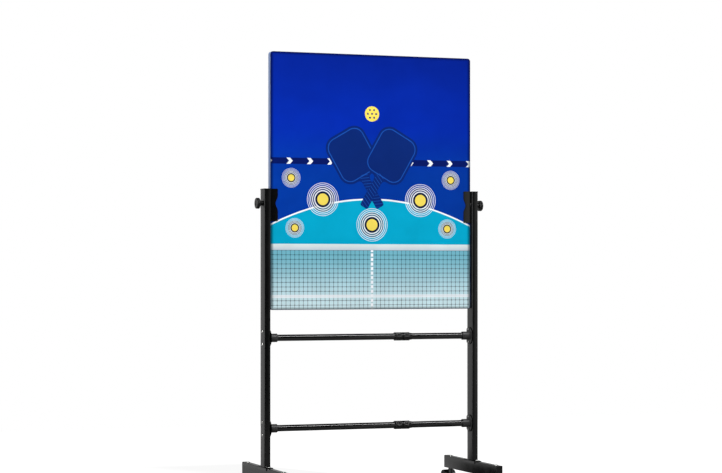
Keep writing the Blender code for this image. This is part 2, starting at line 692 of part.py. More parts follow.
def build_caster_stem(prefix, x, y):
    """A caster's stem, through both walls of the foot, with a collar under it."""
    radius = STEM_DIAMETER / 2
    collar = radius + STEM_COLLAR_STEP
    pin = STEM_PIN_DIAMETER / 2
    collar_low = HOUSING_TOP_Z + RUN_GAP
    collar_high = collar_low + STEM_COLLAR_HEIGHT
    top = FOOT_TOP_Z + STEM_ABOVE_FOOT
    bottom = HOUSING_TOP_Z - STEM_SEAT_DEPTH
    profile = [
        (0, top),
        (radius, top),
        (radius, collar_high),
        (collar, collar_high),
        (collar, collar_low),
        (pin, collar_low),
        (pin, bottom),
        (0, bottom),
    ]
    return dress(turned(f"{prefix}_caster_stem", profile, at(x, y, 0), steps=MEDIUM_STEPS), "dark_steel")


def fender_outline():
    """The fender from the side: a band that bends over the wheels, about the axle."""
    angles = [
        FENDER_START + (FENDER_END - FENDER_START) * step / FENDER_STEPS for step in range(FENDER_STEPS + 1)
    ]
    outer = [(FENDER_OUTER_RADIUS * math.cos(a), FENDER_OUTER_RADIUS * math.sin(a)) for a in angles]
    inner = [(FENDER_INNER_RADIUS * math.cos(a), FENDER_INNER_RADIUS * math.sin(a)) for a in angles]
    return outer + inner[::-1]


def caster_frame(x, y, direction):
    """The matrix of a caster: its X runs along the axle, its Y from the axle to the stem, about the axle."""
    turn = Matrix.Rotation(math.pi, 4, "Z") if direction > 0 else Matrix.Identity(4)
    return at(x, y + direction * CASTER_TRAIL, AXLE_Z) @ turn


def build_hood(prefix, frame, braked):
    """A caster's hood: fender, web between the wheels, stem housing and axle in one moulding."""
    lay = frame @ Matrix.Rotation(math.radians(90), 4, "Z") @ STANDING
    hood = extruded(f"{prefix}_caster_hood", fender_outline(), HOOD_WIDTH, lay)
    across = frame @ ALONG_X
    web = cylinder(f"{prefix}_web", HOOD_WEB_DIAMETER / 2, HOOD_WEB_THICKNESS, across, MEDIUM_STEPS)
    combine(hood, web, "UNION")
    rib_high = FENDER_INNER_RADIUS + FENDER_THICKNESS / 2
    rib_size = (HOOD_WEB_THICKNESS, CASTER_TRAIL + HOOD_RIB_BACK, rib_high)
    rib = block(f"{prefix}_rib", rib_size, frame @ at(0, (CASTER_TRAIL - HOOD_RIB_BACK) / 2, rib_high / 2))
    combine(hood, rib, "UNION")
    housing_length = HOUSING_ABOVE_AXLE + HOUSING_BELOW_AXLE
    housing_z = (HOUSING_ABOVE_AXLE - HOUSING_BELOW_AXLE) / 2
    housing_radius = STEM_PIN_DIAMETER / 2 + HOUSING_WALL
    housing_place = frame @ at(0, CASTER_TRAIL, housing_z)
    housing = cylinder(f"{prefix}_housing", housing_radius, housing_length, housing_place, MEDIUM_STEPS)
    combine(hood, housing, "UNION")
    if braked:
        add_pedal_ears(hood, prefix, frame)
    for sign in (-1, 1):
        room_length = WHEEL_WIDTH + WHEEL_SIDE_GAP + CUT_OVERRUN
        where = frame @ at(sign * (HOOD_WEB_THICKNESS + room_length) / 2, 0, 0) @ ALONG_X
        room = cylinder(f"{prefix}_wheel_room_{sign}", WHEEL_ROOM_RADIUS, room_length, where, ROUND_STEPS)
        combine(hood, room, "DIFFERENCE")
    axle = cylinder(f"{prefix}_axle", AXLE_DIAMETER / 2, HOOD_WIDTH, across)
    combine(hood, axle, "UNION")
    bore_length = STEM_SEAT_DEPTH + SEAT_GAP + CUT_OVERRUN
    bore_z = HOUSING_ABOVE_AXLE + CUT_OVERRUN - bore_length / 2
    bore_radius = STEM_PIN_DIAMETER / 2 + RUN_GAP
    bore_place = frame @ at(0, CASTER_TRAIL, bore_z)
    bore = cylinder(f"{prefix}_stem_bore", bore_radius, bore_length, bore_place, MEDIUM_STEPS)
    combine(hood, bore, "DIFFERENCE")
    if braked:
        cut_pedal_seat(hood, prefix, frame)
    return dress(hood, "moulded_black")


def pedal_pivot():
    """Where the pedal turns, in the caster's frame: at the fender's trailing end."""
    return 0.0, PEDAL_PIVOT_RADIUS * math.cos(FENDER_END), PEDAL_PIVOT_RADIUS * math.sin(FENDER_END)


def add_pedal_ears(hood, prefix, frame):
    """Ears at the fender's end that hold the pedal's pin."""
    pivot = frame @ at(*pedal_pivot())
    for sign in (-1, 1):
        ear_x = sign * (PEDAL_NOTCH_WIDTH + EAR_WIDTH) / 2
        ear = cylinder(f"{prefix}_ear_{sign}", EAR_DIAMETER / 2, EAR_WIDTH, pivot @ at(ear_x, 0, 0) @ ALONG_X)
        combine(hood, ear, "UNION")


def cut_pedal_seat(hood, prefix, frame):
    """The notch between the ears for the pedal, and the hole for its pin."""
    pivot = frame @ at(*pedal_pivot())
    notch_radius = PEDAL_BARREL_DIAMETER / 2 + RUN_GAP
    notch_size = (PEDAL_NOTCH_WIDTH, 2 * notch_radius, 2 * EAR_DIAMETER)
    notch = block(f"{prefix}_pedal_notch", notch_size, pivot)
    combine(hood, notch, "DIFFERENCE")
    pin_radius = PEDAL_PIN_DIAMETER / 2 + RUN_GAP
    pin_hole = cylinder(f"{prefix}_pin_hole", pin_radius, PEDAL_NOTCH_WIDTH + EAR_WIDTH, pivot @ ALONG_X)
    combine(hood, pin_hole, "DIFFERENCE")


def build_pedal(prefix, frame):
    """A brake pedal: barrel with pin ends, and a tread that rises behind the fender."""
    pivot = frame @ at(*pedal_pivot())
    place = pivot @ ALONG_X
    barrel_radius = PEDAL_BARREL_DIAMETER / 2
    pedal = cylinder(f"{prefix}_brake_pedal", barrel_radius, PEDAL_WIDTH, place, collection=PARTS)
    pin_length = PEDAL_NOTCH_WIDTH + EAR_WIDTH - 2 * RUN_GAP
    pin = cylinder(f"{prefix}_pedal_pin", PEDAL_PIN_DIAMETER / 2, pin_length, place)
    combine(pedal, pin, "UNION")
    slope = Matrix.Rotation(-PEDAL_RISE, 4, "X")
    tread_size = (PEDAL_WIDTH, PEDAL_LENGTH, PEDAL_THICKNESS)
    tread = block(f"{prefix}_pedal_tread", tread_size, pivot @ slope @ at(0, -PEDAL_LENGTH / 2, 0))
    combine(pedal, tread, "UNION")
    return dress(pedal, "moulded_black")


def build_wheel(prefix, frame, sign, place_name):
    """One wheel of a caster, with a flat facet on the floor."""
    radius = WHEEL_DIAMETER / 2
    bore = AXLE_DIAMETER / 2 + RUN_GAP
    recess = radius - WHEEL_RIM
    profile = [
        (recess, WHEEL_WIDTH),
        (radius - WHEEL_EDGE, WHEEL_WIDTH),
        (radius, WHEEL_WIDTH - WHEEL_EDGE),
        (radius, 0),
        (bore, 0),
        (bore, WHEEL_WIDTH - WHEEL_RECESS_DEPTH),
        (recess - WHEEL_RECESS_DEPTH, WHEEL_WIDTH - WHEEL_RECESS_DEPTH),
    ]
    lay = ALONG_X if sign > 0 else AGAINST_X
    settle = Matrix.Rotation(FACET_HALF_ANGLE, 4, "Z")
    place = frame @ at(sign * WHEEL_OFFSET, 0, 0) @ lay @ settle
    name = f"{prefix}_{place_name}_wheel"
    return dress(turned(name, profile, place, ring=True, steps=WHEEL_STEPS), "wheel_tread")


def build_caster(label, side, end, direction):
    """A swivel caster with two wheels, and a brake pedal on one caster of each foot."""
    prefix = f"{label}_{end}"
    x = side * POST_X
    y = direction * CASTER_Y
    frame = caster_frame(x, y, direction)
    build_caster_stem(prefix, x, y)
    swivel = axis_empty(f"{prefix}_swivel_axis", (x, y, HOUSING_TOP_Z))
    braked = (label, end) in BRAKED
    hood = build_hood(prefix, frame, braked)
    carry(swivel, [hood])
    axle_place = (x, y + direction * CASTER_TRAIL, AXLE_Z)
    axle_axis = axis_empty(f"{prefix}_axle_axis", axle_place, swivel)
    turned_round = -1 if direction > 0 else 1
    for sign in (-1, 1):
        place_name = "outer" if sign * turned_round * side > 0 else "inner"
        carry(axle_axis, [build_wheel(prefix, frame, sign, place_name)])
    if braked:
        pedal = build_pedal(prefix, frame)
        pivot = frame @ Vector(pedal_pivot())
        carry(axis_empty(f"{prefix}_pedal_axis", tuple(pivot), swivel), [pedal])


def build_panel():
    """The panel with its sheets and edge band, hung on the tilt axis with the left clamp."""
    tilt = axis_empty("tilt_axis", (0, 0, PIVOT_Z))
    pieces = [build_core(), build_sheet("front_print_sheet", -1), build_sheet("back_print_sheet", 1)]
    pieces.append(build_edge_band())
    carry(tilt, pieces)
    for label, side in SIDES.items():
        clamp_axis = axis_empty(f"{label}_clamp_axis", (side * POST_X, 0, PIVOT_Z))
        carry(clamp_axis, [build_clamp(label, side), build_stud(label, side), build_knob(label, side)])


def build_side_frame(label, side):
    """One post with its foot, saddle, caps, sockets, bolts and casters."""
    build_post(label, side)
    top = at(side * POST_X, 0, POST_TOP_Z)
    build_cap(f"{label}_post_cap", POST_WIDTH, POST_DEPTH, POST_WALL, CAP_THICKNESS, CAP_RIM, top)
    build_foot(label, side)
    build_saddle(label, side)
    for end, direction in ENDS.items():
        build_foot_cap(label, side, end, direction)
        build_caster(label, side, end, direction)
    for level, height in RAIL_HEIGHTS.items():
        build_socket(label, side, level, height)
        for row_name, row in (("lower", -1), ("upper", 1)):
            build_rail_bolt(label, side, level, row_name, height + row * BOLT_SPACING / 2)


def build_rails():
    """Both telescoping rails with their twist locks."""
    for level, height in RAIL_HEIGHTS.items():
        build_left_rail(level, height)
        build_right_rail(level, height)
        build_lock_collar(level, height)
        nut_axis = axis_empty(f"{level}_lock_axis", (LOCK_START + NUT_START, 0, height))
        carry(nut_axis, [build_lock_nut(level, height)])


def main():
    """Builds the whole board and stand."""
    build_panel()
    for label, side in SIDES.items():
        build_side_frame(label, side)
    build_rails()
    bpy.context.view_layer.update()


main()
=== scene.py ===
"""Looks of a rebound board on a wheeled stand: its fine surfaces, finishes, print, floor and light.

Lengths are metres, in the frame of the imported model: +X right, +Y to the rear and +Z up.
"""

import json
import logging
import math
from collections.abc import Callable, Sequence
from dataclasses import dataclass, field, replace
from enum import Enum

import bmesh
import bpy
import numpy as np
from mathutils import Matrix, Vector


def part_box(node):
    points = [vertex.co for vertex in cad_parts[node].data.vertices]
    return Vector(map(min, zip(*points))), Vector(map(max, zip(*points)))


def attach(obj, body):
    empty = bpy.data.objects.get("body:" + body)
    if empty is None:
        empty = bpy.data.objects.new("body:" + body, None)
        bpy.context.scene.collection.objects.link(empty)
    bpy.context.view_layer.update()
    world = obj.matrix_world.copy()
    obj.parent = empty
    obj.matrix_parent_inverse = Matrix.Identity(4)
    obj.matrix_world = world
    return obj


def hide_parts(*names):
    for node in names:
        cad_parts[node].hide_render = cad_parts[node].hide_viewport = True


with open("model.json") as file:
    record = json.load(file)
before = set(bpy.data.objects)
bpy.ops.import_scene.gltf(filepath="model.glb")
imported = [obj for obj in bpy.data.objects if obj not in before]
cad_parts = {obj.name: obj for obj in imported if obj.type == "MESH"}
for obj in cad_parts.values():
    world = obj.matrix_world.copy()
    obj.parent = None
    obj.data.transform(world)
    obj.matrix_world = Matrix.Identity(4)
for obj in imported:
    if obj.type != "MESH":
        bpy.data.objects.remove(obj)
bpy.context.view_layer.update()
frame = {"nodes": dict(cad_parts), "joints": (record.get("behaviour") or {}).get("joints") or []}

LOG = logging.getLogger("rebound_board")

Point = tuple[float, float, float]
Colour = tuple[float, float, float]
Corners = Sequence[tuple[float, float, float]]
Outline = Callable[[np.ndarray, np.ndarray, np.ndarray], np.ndarray]

UP: Point = (0.0, 0.0, 1.0)
RIGHT: Point = (1.0, 0.0, 0.0)
REARWARD: Point = (0.0, 1.0, 0.0)

FULL_TURN = 2 * math.pi
MERGE_DISTANCE = 2e-7
TUBE_BEVEL = 0.00025
SADDLE_BEVEL = 0.0003
SHARP_ANGLE = math.radians(34)
BEVEL_ANGLE = math.radians(50)
SEAT_GAP = 0.0003
RIB_ROWS = 14

PRINT_EDGE = 0.00035
WHITE: Colour = (1.0, 1.0, 1.0)
WHITE_INK: Colour = (0.86, 0.90, 0.94)
NAVY_INK: Colour = (0.003, 0.020, 0.155)
BLUE_INK: Colour = (0.012, 0.098, 0.50)
YELLOW_INK: Colour = (0.86, 0.68, 0.105)
DARK_INK: Colour = (0.004, 0.010, 0.040)
BAND_INK: Colour = (0.0018, 0.0085, 0.110)
DUST: Colour = (0.30, 0.28, 0.25)


class Choice(Enum):
    """A choice whose members are spelt in the nodes' names."""

    @property
    def label(self) -> str:
        """The member's name as the nodes spell it."""
        return self.name.lower()


class Side(Choice):
    """The two side frames of the stand."""

    LEFT = -1
    RIGHT = 1

    @property
    def out(self) -> Point:
        """The way that points away from the panel."""
        return (float(self.value), 0.0, 0.0)

    @property
    def into(self) -> Point:
        """The way that points towards the panel."""
        return (-float(self.value), 0.0, 0.0)


class End(Choice):
    """The two ends of a foot."""

    FRONT = -1
    REAR = 1


class Level(Choice):
    """The two telescoping rails."""

    UPPER = 1
    LOWER = 0


@dataclass(frozen=True)
class Span:
    """The box that a CAD node fills at rest."""

    low: np.ndarray
    high: np.ndarray

    @classmethod
    def of(cls, node: str) -> "Span":
        """The box of one node of the frame."""
        return cls(*map(np.array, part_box(node)))

    @property
    def middle(self) -> np.ndarray:
        """The centre of the box."""
        return (self.low + self.high) / 2

    @property
    def size(self) -> np.ndarray:
        """The three sides of the box."""
        return self.high - self.low

    @property
    def reach(self) -> list[float]:
        """The nearest and the farthest distance of the box from the middle plane."""
        return sorted((abs(self.low[0]), abs(self.high[0])))


@dataclass(frozen=True)
class Place:
    """Where a shape stands: its origin, the way that its height runs and the way that its side faces."""

    origin: Sequence[float]
    height: Point = UP
    side: Point = RIGHT

    def carry(self, points: np.ndarray) -> np.ndarray:
        """Turns and moves points: side, height x side and height are the three axes."""
        axes = np.stack([self.side, np.cross(self.height, self.side), self.height])
        return points @ axes + np.asarray(self.origin)


def lattice(rows: int, columns: int, wrap_rows: bool, wrap_columns: bool) -> np.ndarray:
    """Quads between the neighbours of a grid: point, next column, both next, next row.

    Args:
        rows: points along the first parameter.
        columns: points along the second parameter.
        wrap_rows: joins the last row to the first.
        wrap_columns: joins the last column to the first.

    Returns:
        One row of four indices for each quad.
    """
    row = np.arange(rows if wrap_rows else rows - 1)[:, None]
    column = np.arange(columns if wrap_columns else columns - 1)[None, :]
    below, beside = (row + 1) % rows * columns, (column + 1) % columns
    corners = (row * columns + column, row * columns + beside, below + beside, below + column)
    return np.stack(np.broadcast_arrays(*corners), axis=-1).reshape(-1, 4)


@dataclass(frozen=True)
class Shell:
    """A closed surface as points and faces."""

    points: np.ndarray
    faces: np.ndarray

    @classmethod
    def of_grid(cls, grid: np.ndarray, wrap_rows: bool = False, wrap_columns: bool = True) -> "Shell":
        """The surface through a grid of points, rows by columns by three."""
        return cls(grid.reshape(-1, 3), lattice(*grid.shape[:2], wrap_rows, wrap_columns))

    def placed(self, *places: Place) -> "Shell":
        """The same surface after each place in turn."""
        points = self.points
        for place in places:
            points = place.carry(points)
        return Shell(points, self.faces)


def corner_arc(before: np.ndarray, corner: np.ndarray, after: np.ndarray, radius: float,
               steps: int) -> np.ndarray:
    """A fillet between two straight runs: a circle's arc that meets both of them square to its radius.

    Args:
        before: the corner before this one.
        corner: the corner that is rounded.
        after: the corner after this one.
        radius: the arc's radius, or 0 for a sharp corner.
        steps: runs along the arc.

    Returns:
        The arc's points, or the sharp corner alone.
    """
    if radius <= 0:
        return corner[None, :]
    first = (before - corner) / np.linalg.norm(before - corner)
    second = (after - corner) / np.linalg.norm(after - corner)
    half = math.acos(float(np.clip(first @ second, -1, 1))) / 2
    bisector = (first + second) / np.linalg.norm(first + second)
    middle = corner + bisector * radius / math.sin(half)
    start = corner + first * radius / math.tan(half) - middle
    end = corner + second * radius / math.tan(half) - middle
    sweep = math.pi - 2 * half
    share = np.linspace(0, 1, steps + 1)[:, None]
    return middle + (np.sin((1 - share) * sweep) * start + np.sin(share * sweep) * end) / math.sin(sweep)


def rounded_path(corners: Corners, steps: int = 5, closed: bool = False) -> np.ndarray:
    """Straight runs between corners, with an arc at each corner that has a radius.

    Args:
        corners: rows of x, y and radius.
        steps: runs along each arc.
        closed: joins the last corner to the first.

    Returns:
        The path's points as rows of x and y.
    """
    table = np.array(corners, float)
    before, after = np.roll(table, 1, axis=0), np.roll(table, -1, axis=0)
    arcs = [corner_arc(last[:2], here[:2], following[:2], here[2], steps)
            for last, here, following in zip(before, table, after)]
    if not closed:
        arcs[0], arcs[-1] = table[:1, :2], table[-1:, :2]
    return np.vstack(arcs)


def spread(count: int) -> np.ndarray:
    """Values from -1 to 1 that crowd together at both ends."""
    return np.sin(np.linspace(-math.pi / 2, math.pi / 2, count))


def rounding(to_end: np.ndarray, radius: float) -> np.ndarray:
    """How far a quarter circle draws an edge in, by the distance to the edge's end."""
    return radius - np.sqrt(radius**2 - np.clip(radius - to_end, 0, radius) ** 2)


def rounded_rectangle(width: np.ndarray, height: np.ndarray, radius: np.ndarray, steps: int) -> np.ndarray:
    """Rectangles with quarter circles at their corners, one for each row of sizes.

    Args:
        width: the rows' widths.
        height: the rows' heights.
        radius: the rows' corner radii.
        steps: runs along each quarter circle.

    Returns:
        Rows by points by two, counter-clockwise.
    """
    quarter = np.repeat(np.arange(4), steps + 1)
    angle = np.pi / 2 * (quarter + np.tile(np.linspace(0, 1, steps + 1), 4))
    sign_x = np.where((quarter == 0) | (quarter == 3), 1, -1)
    sign_y = np.where(quarter < 2, 1, -1)
    width, height, radius = width[:, None], height[:, None], radius[:, None]
    across = sign_x * (width / 2 - radius) + radius * np.cos(angle)
    along = sign_y * (height / 2 - radius) + radius * np.sin(angle)
    return np.stack([across, along], axis=-1)


def prism(width: float, height: float, radius: float, stations: np.ndarray, ring: bool = False,
          steps: int = 8) -> Shell:
    """A rounded rectangle carried along its height, drawn in by each station's inset.

    Args:
        width: the rectangle's size along X.
        height: the rectangle's size along Y.
        radius: its corner radius.
        stations: rows of height and inset.
        ring: the stations close on themselves, as round a tube's wall.
        steps: runs along each corner.

    Returns:
        The closed surface.
    """
    lift, inset = stations[:, 0], stations[:, 1]
    flat = rounded_rectangle(width - 2 * inset, height - 2 * inset, np.maximum(radius - inset, 1e-4), steps)
    lifted = np.broadcast_to(lift[:, None, None], (*flat.shape[:2], 1))
    grid = np.concatenate([flat, lifted], axis=-1)
    if not ring:
        poles = [np.broadcast_to((0.0, 0.0, end), (1, grid.shape[1], 3)) for end in (lift[0], lift[-1])]
        grid = np.concatenate([poles[0], grid, poles[1]])
    return Shell.of_grid(grid, wrap_rows=ring)


def plate_stations(thickness: float, edge: float, steps: int = 4) -> np.ndarray:
    """Stations of a plate with both rims rounded: flat, quarter circle, wall, quarter circle, flat."""
    flat = edge * 1.6
    return rounded_path([(0, flat, 0), (0, 0, edge), (thickness, 0, edge), (thickness, flat, 0)], steps)


def turned(profile: np.ndarray, steps: int = 64, ring: bool = False, outline: Outline | None = None) -> Shell:
    """A profile carried round the height axis: (r cos a, r sin a, h).

    Args:
        profile: rows of radius and height.
        steps: points round the axis.
        ring: the profile closes on itself.
        outline: gives the radius from radius, height and angle, where it isn't round.

    Returns:
        The closed surface.
    """
    angle = np.arange(steps) * FULL_TURN / steps
    radius, height, angle = np.broadcast_arrays(profile[:, :1], profile[:, 1:2], angle[None, :])
    if outline is not None:
        radius = outline(radius, height, angle)
    return Shell.of_grid(np.stack([radius * np.cos(angle), radius * np.sin(angle), height], axis=-1), ring)


def hexagon(angle: np.ndarray, across_flats: float) -> np.ndarray:
    """The radius of a hexagon: half the flats' distance over the cosine of the angle from a flat."""
    sixth = math.pi / 3
    return across_flats / 2 / np.cos((angle + sixth / 2) % sixth - sixth / 2)


def channel(half_width: float, metal: float, bend: float, stations: np.ndarray, tips: np.ndarray,
            flare: float = 0.0) -> Shell:
    """A folded channel: web, two bends and two flanges, whose depth changes along the length.

    Own axes: X across the web, Y from the web's outer face towards the tips, Z along the length.

    Args:
        half_width: from the middle to a flange's outer face.
        metal: the sheet's thickness.
        bend: the outer bend radius.
        stations: places along the length.
        tips: the depth of the flange tips at each station.
        flare: how far each tip leans outwards for each unit of its depth past the bend.

    Returns:
        The closed surface.
    """
    deep, lean = tips.max(), flare * (tips[:, None] - bend)
    outside, inside = (half_width, 0, bend), (half_width - metal, metal, bend - metal)
    both = np.stack([rounded_path([(-x, deep, 0), (-x, y, radius), (x, y, radius), (x, deep, 0)])
                     for x, y, radius in (outside, inside)])
    rows = np.broadcast_to(both, (len(stations), *both.shape)).copy()
    for end, way in ((0, -1), (-1, 1)):
        rows[:, :, end, 0] += way * lean
        rows[:, :, end, 1] = tips[:, None]
    middle = np.broadcast_to(rows.mean(axis=1, keepdims=True), rows.shape)
    rows = np.concatenate([middle[:1], rows, middle[-1:]])
    lengths = np.concatenate([stations[:1], stations, stations[-1:]])
    loop = np.concatenate([rows[:, 0], rows[:, 1, ::-1]], axis=1)
    along = np.broadcast_to(lengths[:, None, None], (*loop.shape[:2], 1))
    return Shell.of_grid(np.concatenate([loop, along], axis=-1))


def linked(name: str, shell: Shell) -> bpy.types.Object:
    """A mesh object made from a shell, with its doubles merged and its faces turned outwards.

    Args:
        name: the object's name.
        shell: its surface.

    Returns:
        The object, in the scene.
    """
    mesh = bpy.data.meshes.new(name)
    mesh.from_pydata(shell.points.tolist(), [], shell.faces.tolist())
    shape = bmesh.new()
    shape.from_mesh(mesh)
    bmesh.ops.remove_doubles(shape, verts=shape.verts, dist=MERGE_DISTANCE)
    bmesh.ops.recalc_face_normals(shape, faces=shape.faces)
    shape.to_mesh(mesh)
    shape.free()
    made = bpy.data.objects.new(name, mesh)
    bpy.context.scene.collection.objects.link(made)
    return made


def carved(base: Shell, joined: Sequence[Shell] = (), cut: Sequence[Shell] = ()) -> Shell:
    """A surface with others joined to it and others cut out of it.

    Args:
        base: the surface to start from.
        joined: surfaces that are added, first.
        cut: surfaces that are taken away.

    Returns:
        The closed surface, in triangles.
    """
    body = linked("body", base)
    tools = [(linked("tool", shell), "UNION") for shell in joined]
    tools += [(linked("tool", shell), "DIFFERENCE") for shell in cut]
    for tool, operation in tools:
        modifier = body.modifiers.new("boolean", "BOOLEAN")
        modifier.operation, modifier.solver, modifier.object = operation, "MANIFOLD", tool
    bpy.context.view_layer.update()
    mesh = bpy.data.meshes.new_from_object(body.evaluated_get(bpy.context.evaluated_depsgraph_get()))
    shape = bmesh.new()
    shape.from_mesh(mesh)
    bmesh.ops.remove_doubles(shape, verts=shape.verts, dist=MERGE_DISTANCE)
    bmesh.ops.triangulate(shape, faces=shape.faces)
    points = np.array([vertex.co for vertex in shape.verts])
    shape.verts.index_update()
    faces = np.array([[vertex.index for vertex in face.verts] for face in shape.faces])
    shape.free()
    for made in (body, *(tool for tool, _ in tools)):
        bpy.data.objects.remove(made, do_unlink=True)
    return Shell(points, faces)


@dataclass(frozen=True)
class Wire:
    """A node's output, as a value in formulas."""

    graph: "Graph"
    socket: bpy.types.NodeSocket

    def __add__(self, other: "Value") -> "Wire":
        """The sum."""
        return self.graph.math("ADD", self, other)

    def __sub__(self, other: "Value") -> "Wire":
        """The difference."""
        return self.graph.math("SUBTRACT", self, other)

    def __rsub__(self, other: float) -> "Wire":
        """The difference from a number."""
        return self.graph.math("SUBTRACT", other, self)

    def __mul__(self, other: "Value") -> "Wire":
        """The product."""
        return self.graph.math("MULTIPLY", self, other)

    def __truediv__(self, other: "Value") -> "Wire":
        """The quotient."""
        return self.graph.math("DIVIDE", self, other)

    def __abs__(self) -> "Wire":
        """The value without its sign."""
        return self.graph.math("ABSOLUTE", self)

    def fraction(self) -> "Wire":
        """The part after the point."""
        return self.graph.math("FRACT", self)

    def least(self, other: "Value") -> "Wire":
        """The lesser of two."""
        return self.graph.math("MINIMUM", self, other)

    def most(self, other: "Value") -> "Wire":
        """The greater of two."""
        return self.graph.math("MAXIMUM", self, other)

    def ramp(self, low: float, high: float, first: float = 0.0, last: float = 1.0,
             smooth: bool = False) -> "Wire":
        """The value mapped from one range to another, held at the ends.

        Args:
            low: where the first range starts.
            high: where it ends.
            first: where the second range starts.
            last: where it ends.
            smooth: eases both ends.

        Returns:
            The mapped value.
        """
        kind = "SMOOTHSTEP" if smooth else "LINEAR"
        return self.graph.wire("MapRange", self, low, high, first, last, interpolation_type=kind)

    def below(self, limit: float = 0.0) -> "Wire":
        """1 below a limit and 0 above it, with a soft printed edge."""
        return self.ramp(limit - PRINT_EDGE, limit + PRINT_EDGE, 1.0, 0.0)

    def strip(self, low: float, high: float) -> "Wire":
        """1 where the value lies between two lines."""
        return abs(self - (low + high) / 2).below((high - low) / 2)

    def lines(self, pitch: float, width: float) -> "Wire":
        """1 on evenly spaced lines: where the distance to the nearest multiple of the pitch is small."""
        return (abs((self / pitch + 100.5).fraction() - 0.5) * pitch).below(width / 2)


Value = float | tuple | Wire


@dataclass(frozen=True)
class Graph:
    """A node tree that is written as formulas."""

    tree: bpy.types.NodeTree

    def feed(self, socket: bpy.types.NodeSocket, value: Value) -> None:
        """Links a socket to another, or sets its value.

        Args:
            socket: an input.
            value: what it gets.
        """
        if isinstance(value, Wire):
            self.tree.links.new(value.socket, socket)
        elif socket.type == "RGBA":
            socket.default_value = (*value, 1.0)
        else:
            socket.default_value = value

    def fill(self, node: bpy.types.Node, values: dict[str | int, Value]) -> bpy.types.Node:
        """Feeds a node's inputs by their names or numbers.

        Args:
            node: the node.
            values: what each input gets.

        Returns:
            The node.
        """
        for key, value in values.items():
            self.feed(node.inputs[key], value)
        return node

    def node(self, kind: str, *values: Value, **settings: object) -> bpy.types.Node:
        """A new shader node with its settings, whose first inputs are fed.

        Args:
            kind: the node's type, without its prefix.
            values: what its first inputs get.
            settings: its properties.

        Returns:
            The node.
        """
        made = self.tree.nodes.new(f"ShaderNode{kind}")
        for name, value in settings.items():
            setattr(made, name, value)
        return self.fill(made, dict(enumerate(values)))

    def wire(self, kind: str, *values: Value, output: str | int = 0, **settings: object) -> Wire:
        """One output of a new node."""
        return Wire(self, self.node(kind, *values, **settings).outputs[output])

    def wires(self, kind: str, *values: Value, **settings: object) -> list[Wire]:
        """Every output of a new node."""
        return [Wire(self, socket) for socket in self.node(kind, *values, **settings).outputs]

    def math(self, operation: str, *values: Value, clamp: bool = False) -> Wire:
        """One sum, product or other operation on numbers."""
        return self.wire("Math", *values, operation=operation, use_clamp=clamp)

    def vector(self, operation: str, *values: Value) -> Wire:
        """One operation on vectors, which gives a number for a length or a distance."""
        output = "Value" if operation in ("LENGTH", "DISTANCE") else "Vector"
        return self.wire("VectorMath", *values, output=output, operation=operation)

    def scaled(self, colour: Value, gain: Wire) -> Wire:
        """A colour times a number."""
        made = self.node("VectorMath", colour, operation="SCALE")
        return Wire(self, self.fill(made, {"Scale": gain}).outputs[0])

    def mix(self, share: Value, first: Value, second: Value) -> Wire:
        """A colour between two, by a share from 0 to 1."""
        made = self.node("Mix", data_type="RGBA")
        return Wire(self, self.fill(made, {0: share, 6: first, 7: second}).outputs[2])

    def noise(self, vector: Value, scale: Value, detail: float = 2.0, roughness: float = 0.5) -> Wire:
        """Soft noise from 0 to 1."""
        values = {"Scale": scale, "Detail": detail, "Roughness": roughness}
        return Wire(self, self.fill(self.node("TexNoise", vector), values).outputs[0])

    def stretched(self, vector: Value, scale: Point) -> Wire:
        """A vector scaled along each axis."""
        return Wire(self, self.fill(self.node("Mapping", vector), {"Scale": scale}).outputs[0])

    def split(self, vector: Value) -> list[Wire]:
        """The three parts of a vector."""
        return self.wires("SeparateXYZ", vector)

    def where(self, kind: str = "Object") -> Wire:
        """The coordinates of the shaded point."""
        return self.wire("TexCoord", output=kind)

    def use(self, effect: bpy.types.NodeTree, *values: Value) -> list[Wire]:
        """The outputs of an effect's group, with its inputs fed in their order."""
        return self.wires("Group", *values, node_tree=effect)

    def dress(self, shader: bpy.types.Node, colour: Wire, rough: Wire, specular: float, height: Wire,
              depth: float) -> None:
        """Feeds a shader, with bumps.

        Args:
            shader: the shader.
            colour: its colour.
            rough: its roughness.
            specular: the strength of its gloss.
            height: the bumps from 0 to 1.
            depth: the bumps' full depth.
        """
        bump = self.fill(self.node("Bump"), {"Distance": depth, "Height": height})
        self.fill(shader, {"Base Color": colour, "Roughness": rough, "Specular IOR Level": specular,
                           "Normal": Wire(self, bump.outputs[0])})


KINDS = {"Vector": "Vector", "Centre": "Vector", "Colour": "Color"}


def effect(name: str, takes: str, gives: str, draw: Callable[..., Sequence[Wire]]) -> bpy.types.NodeTree:
    """A node group with named inputs and outputs, built once.

    Args:
        name: the group's name.
        takes: the names of its inputs.
        gives: the names of its outputs.
        draw: makes the nodes, from the graph and its inputs, and returns the outputs.

    Returns:
        The group.
    """
    tree = bpy.data.node_groups.new(name, "ShaderNodeTree")
    for labels, way in ((takes, "INPUT"), (gives, "OUTPUT")):
        for label in labels.split():
            tree.interface.new_socket(label, in_out=way, socket_type=f"NodeSocket{KINDS.get(label, 'Float')}")
    graph = Graph(tree)
    entry, leave = tree.nodes.new("NodeGroupInput"), tree.nodes.new("NodeGroupOutput")
    results = draw(graph, *(Wire(graph, entry.outputs[label]) for label in takes.split()))
    graph.fill(leave, dict(zip(gives.split(), results)))
    return tree


def draw_grain(graph: Graph, where: Wire, scale: Wire) -> Sequence[Wire]:
    """Fine surface grain: a coarse noise with a finer one over it, which gives height and a mask."""
    height = graph.noise(where, scale, 2.0, 0.55) * 0.65 + graph.noise(where, scale * 3.7, 1.0) * 0.35
    return height, height.ramp(0.38, 0.62)


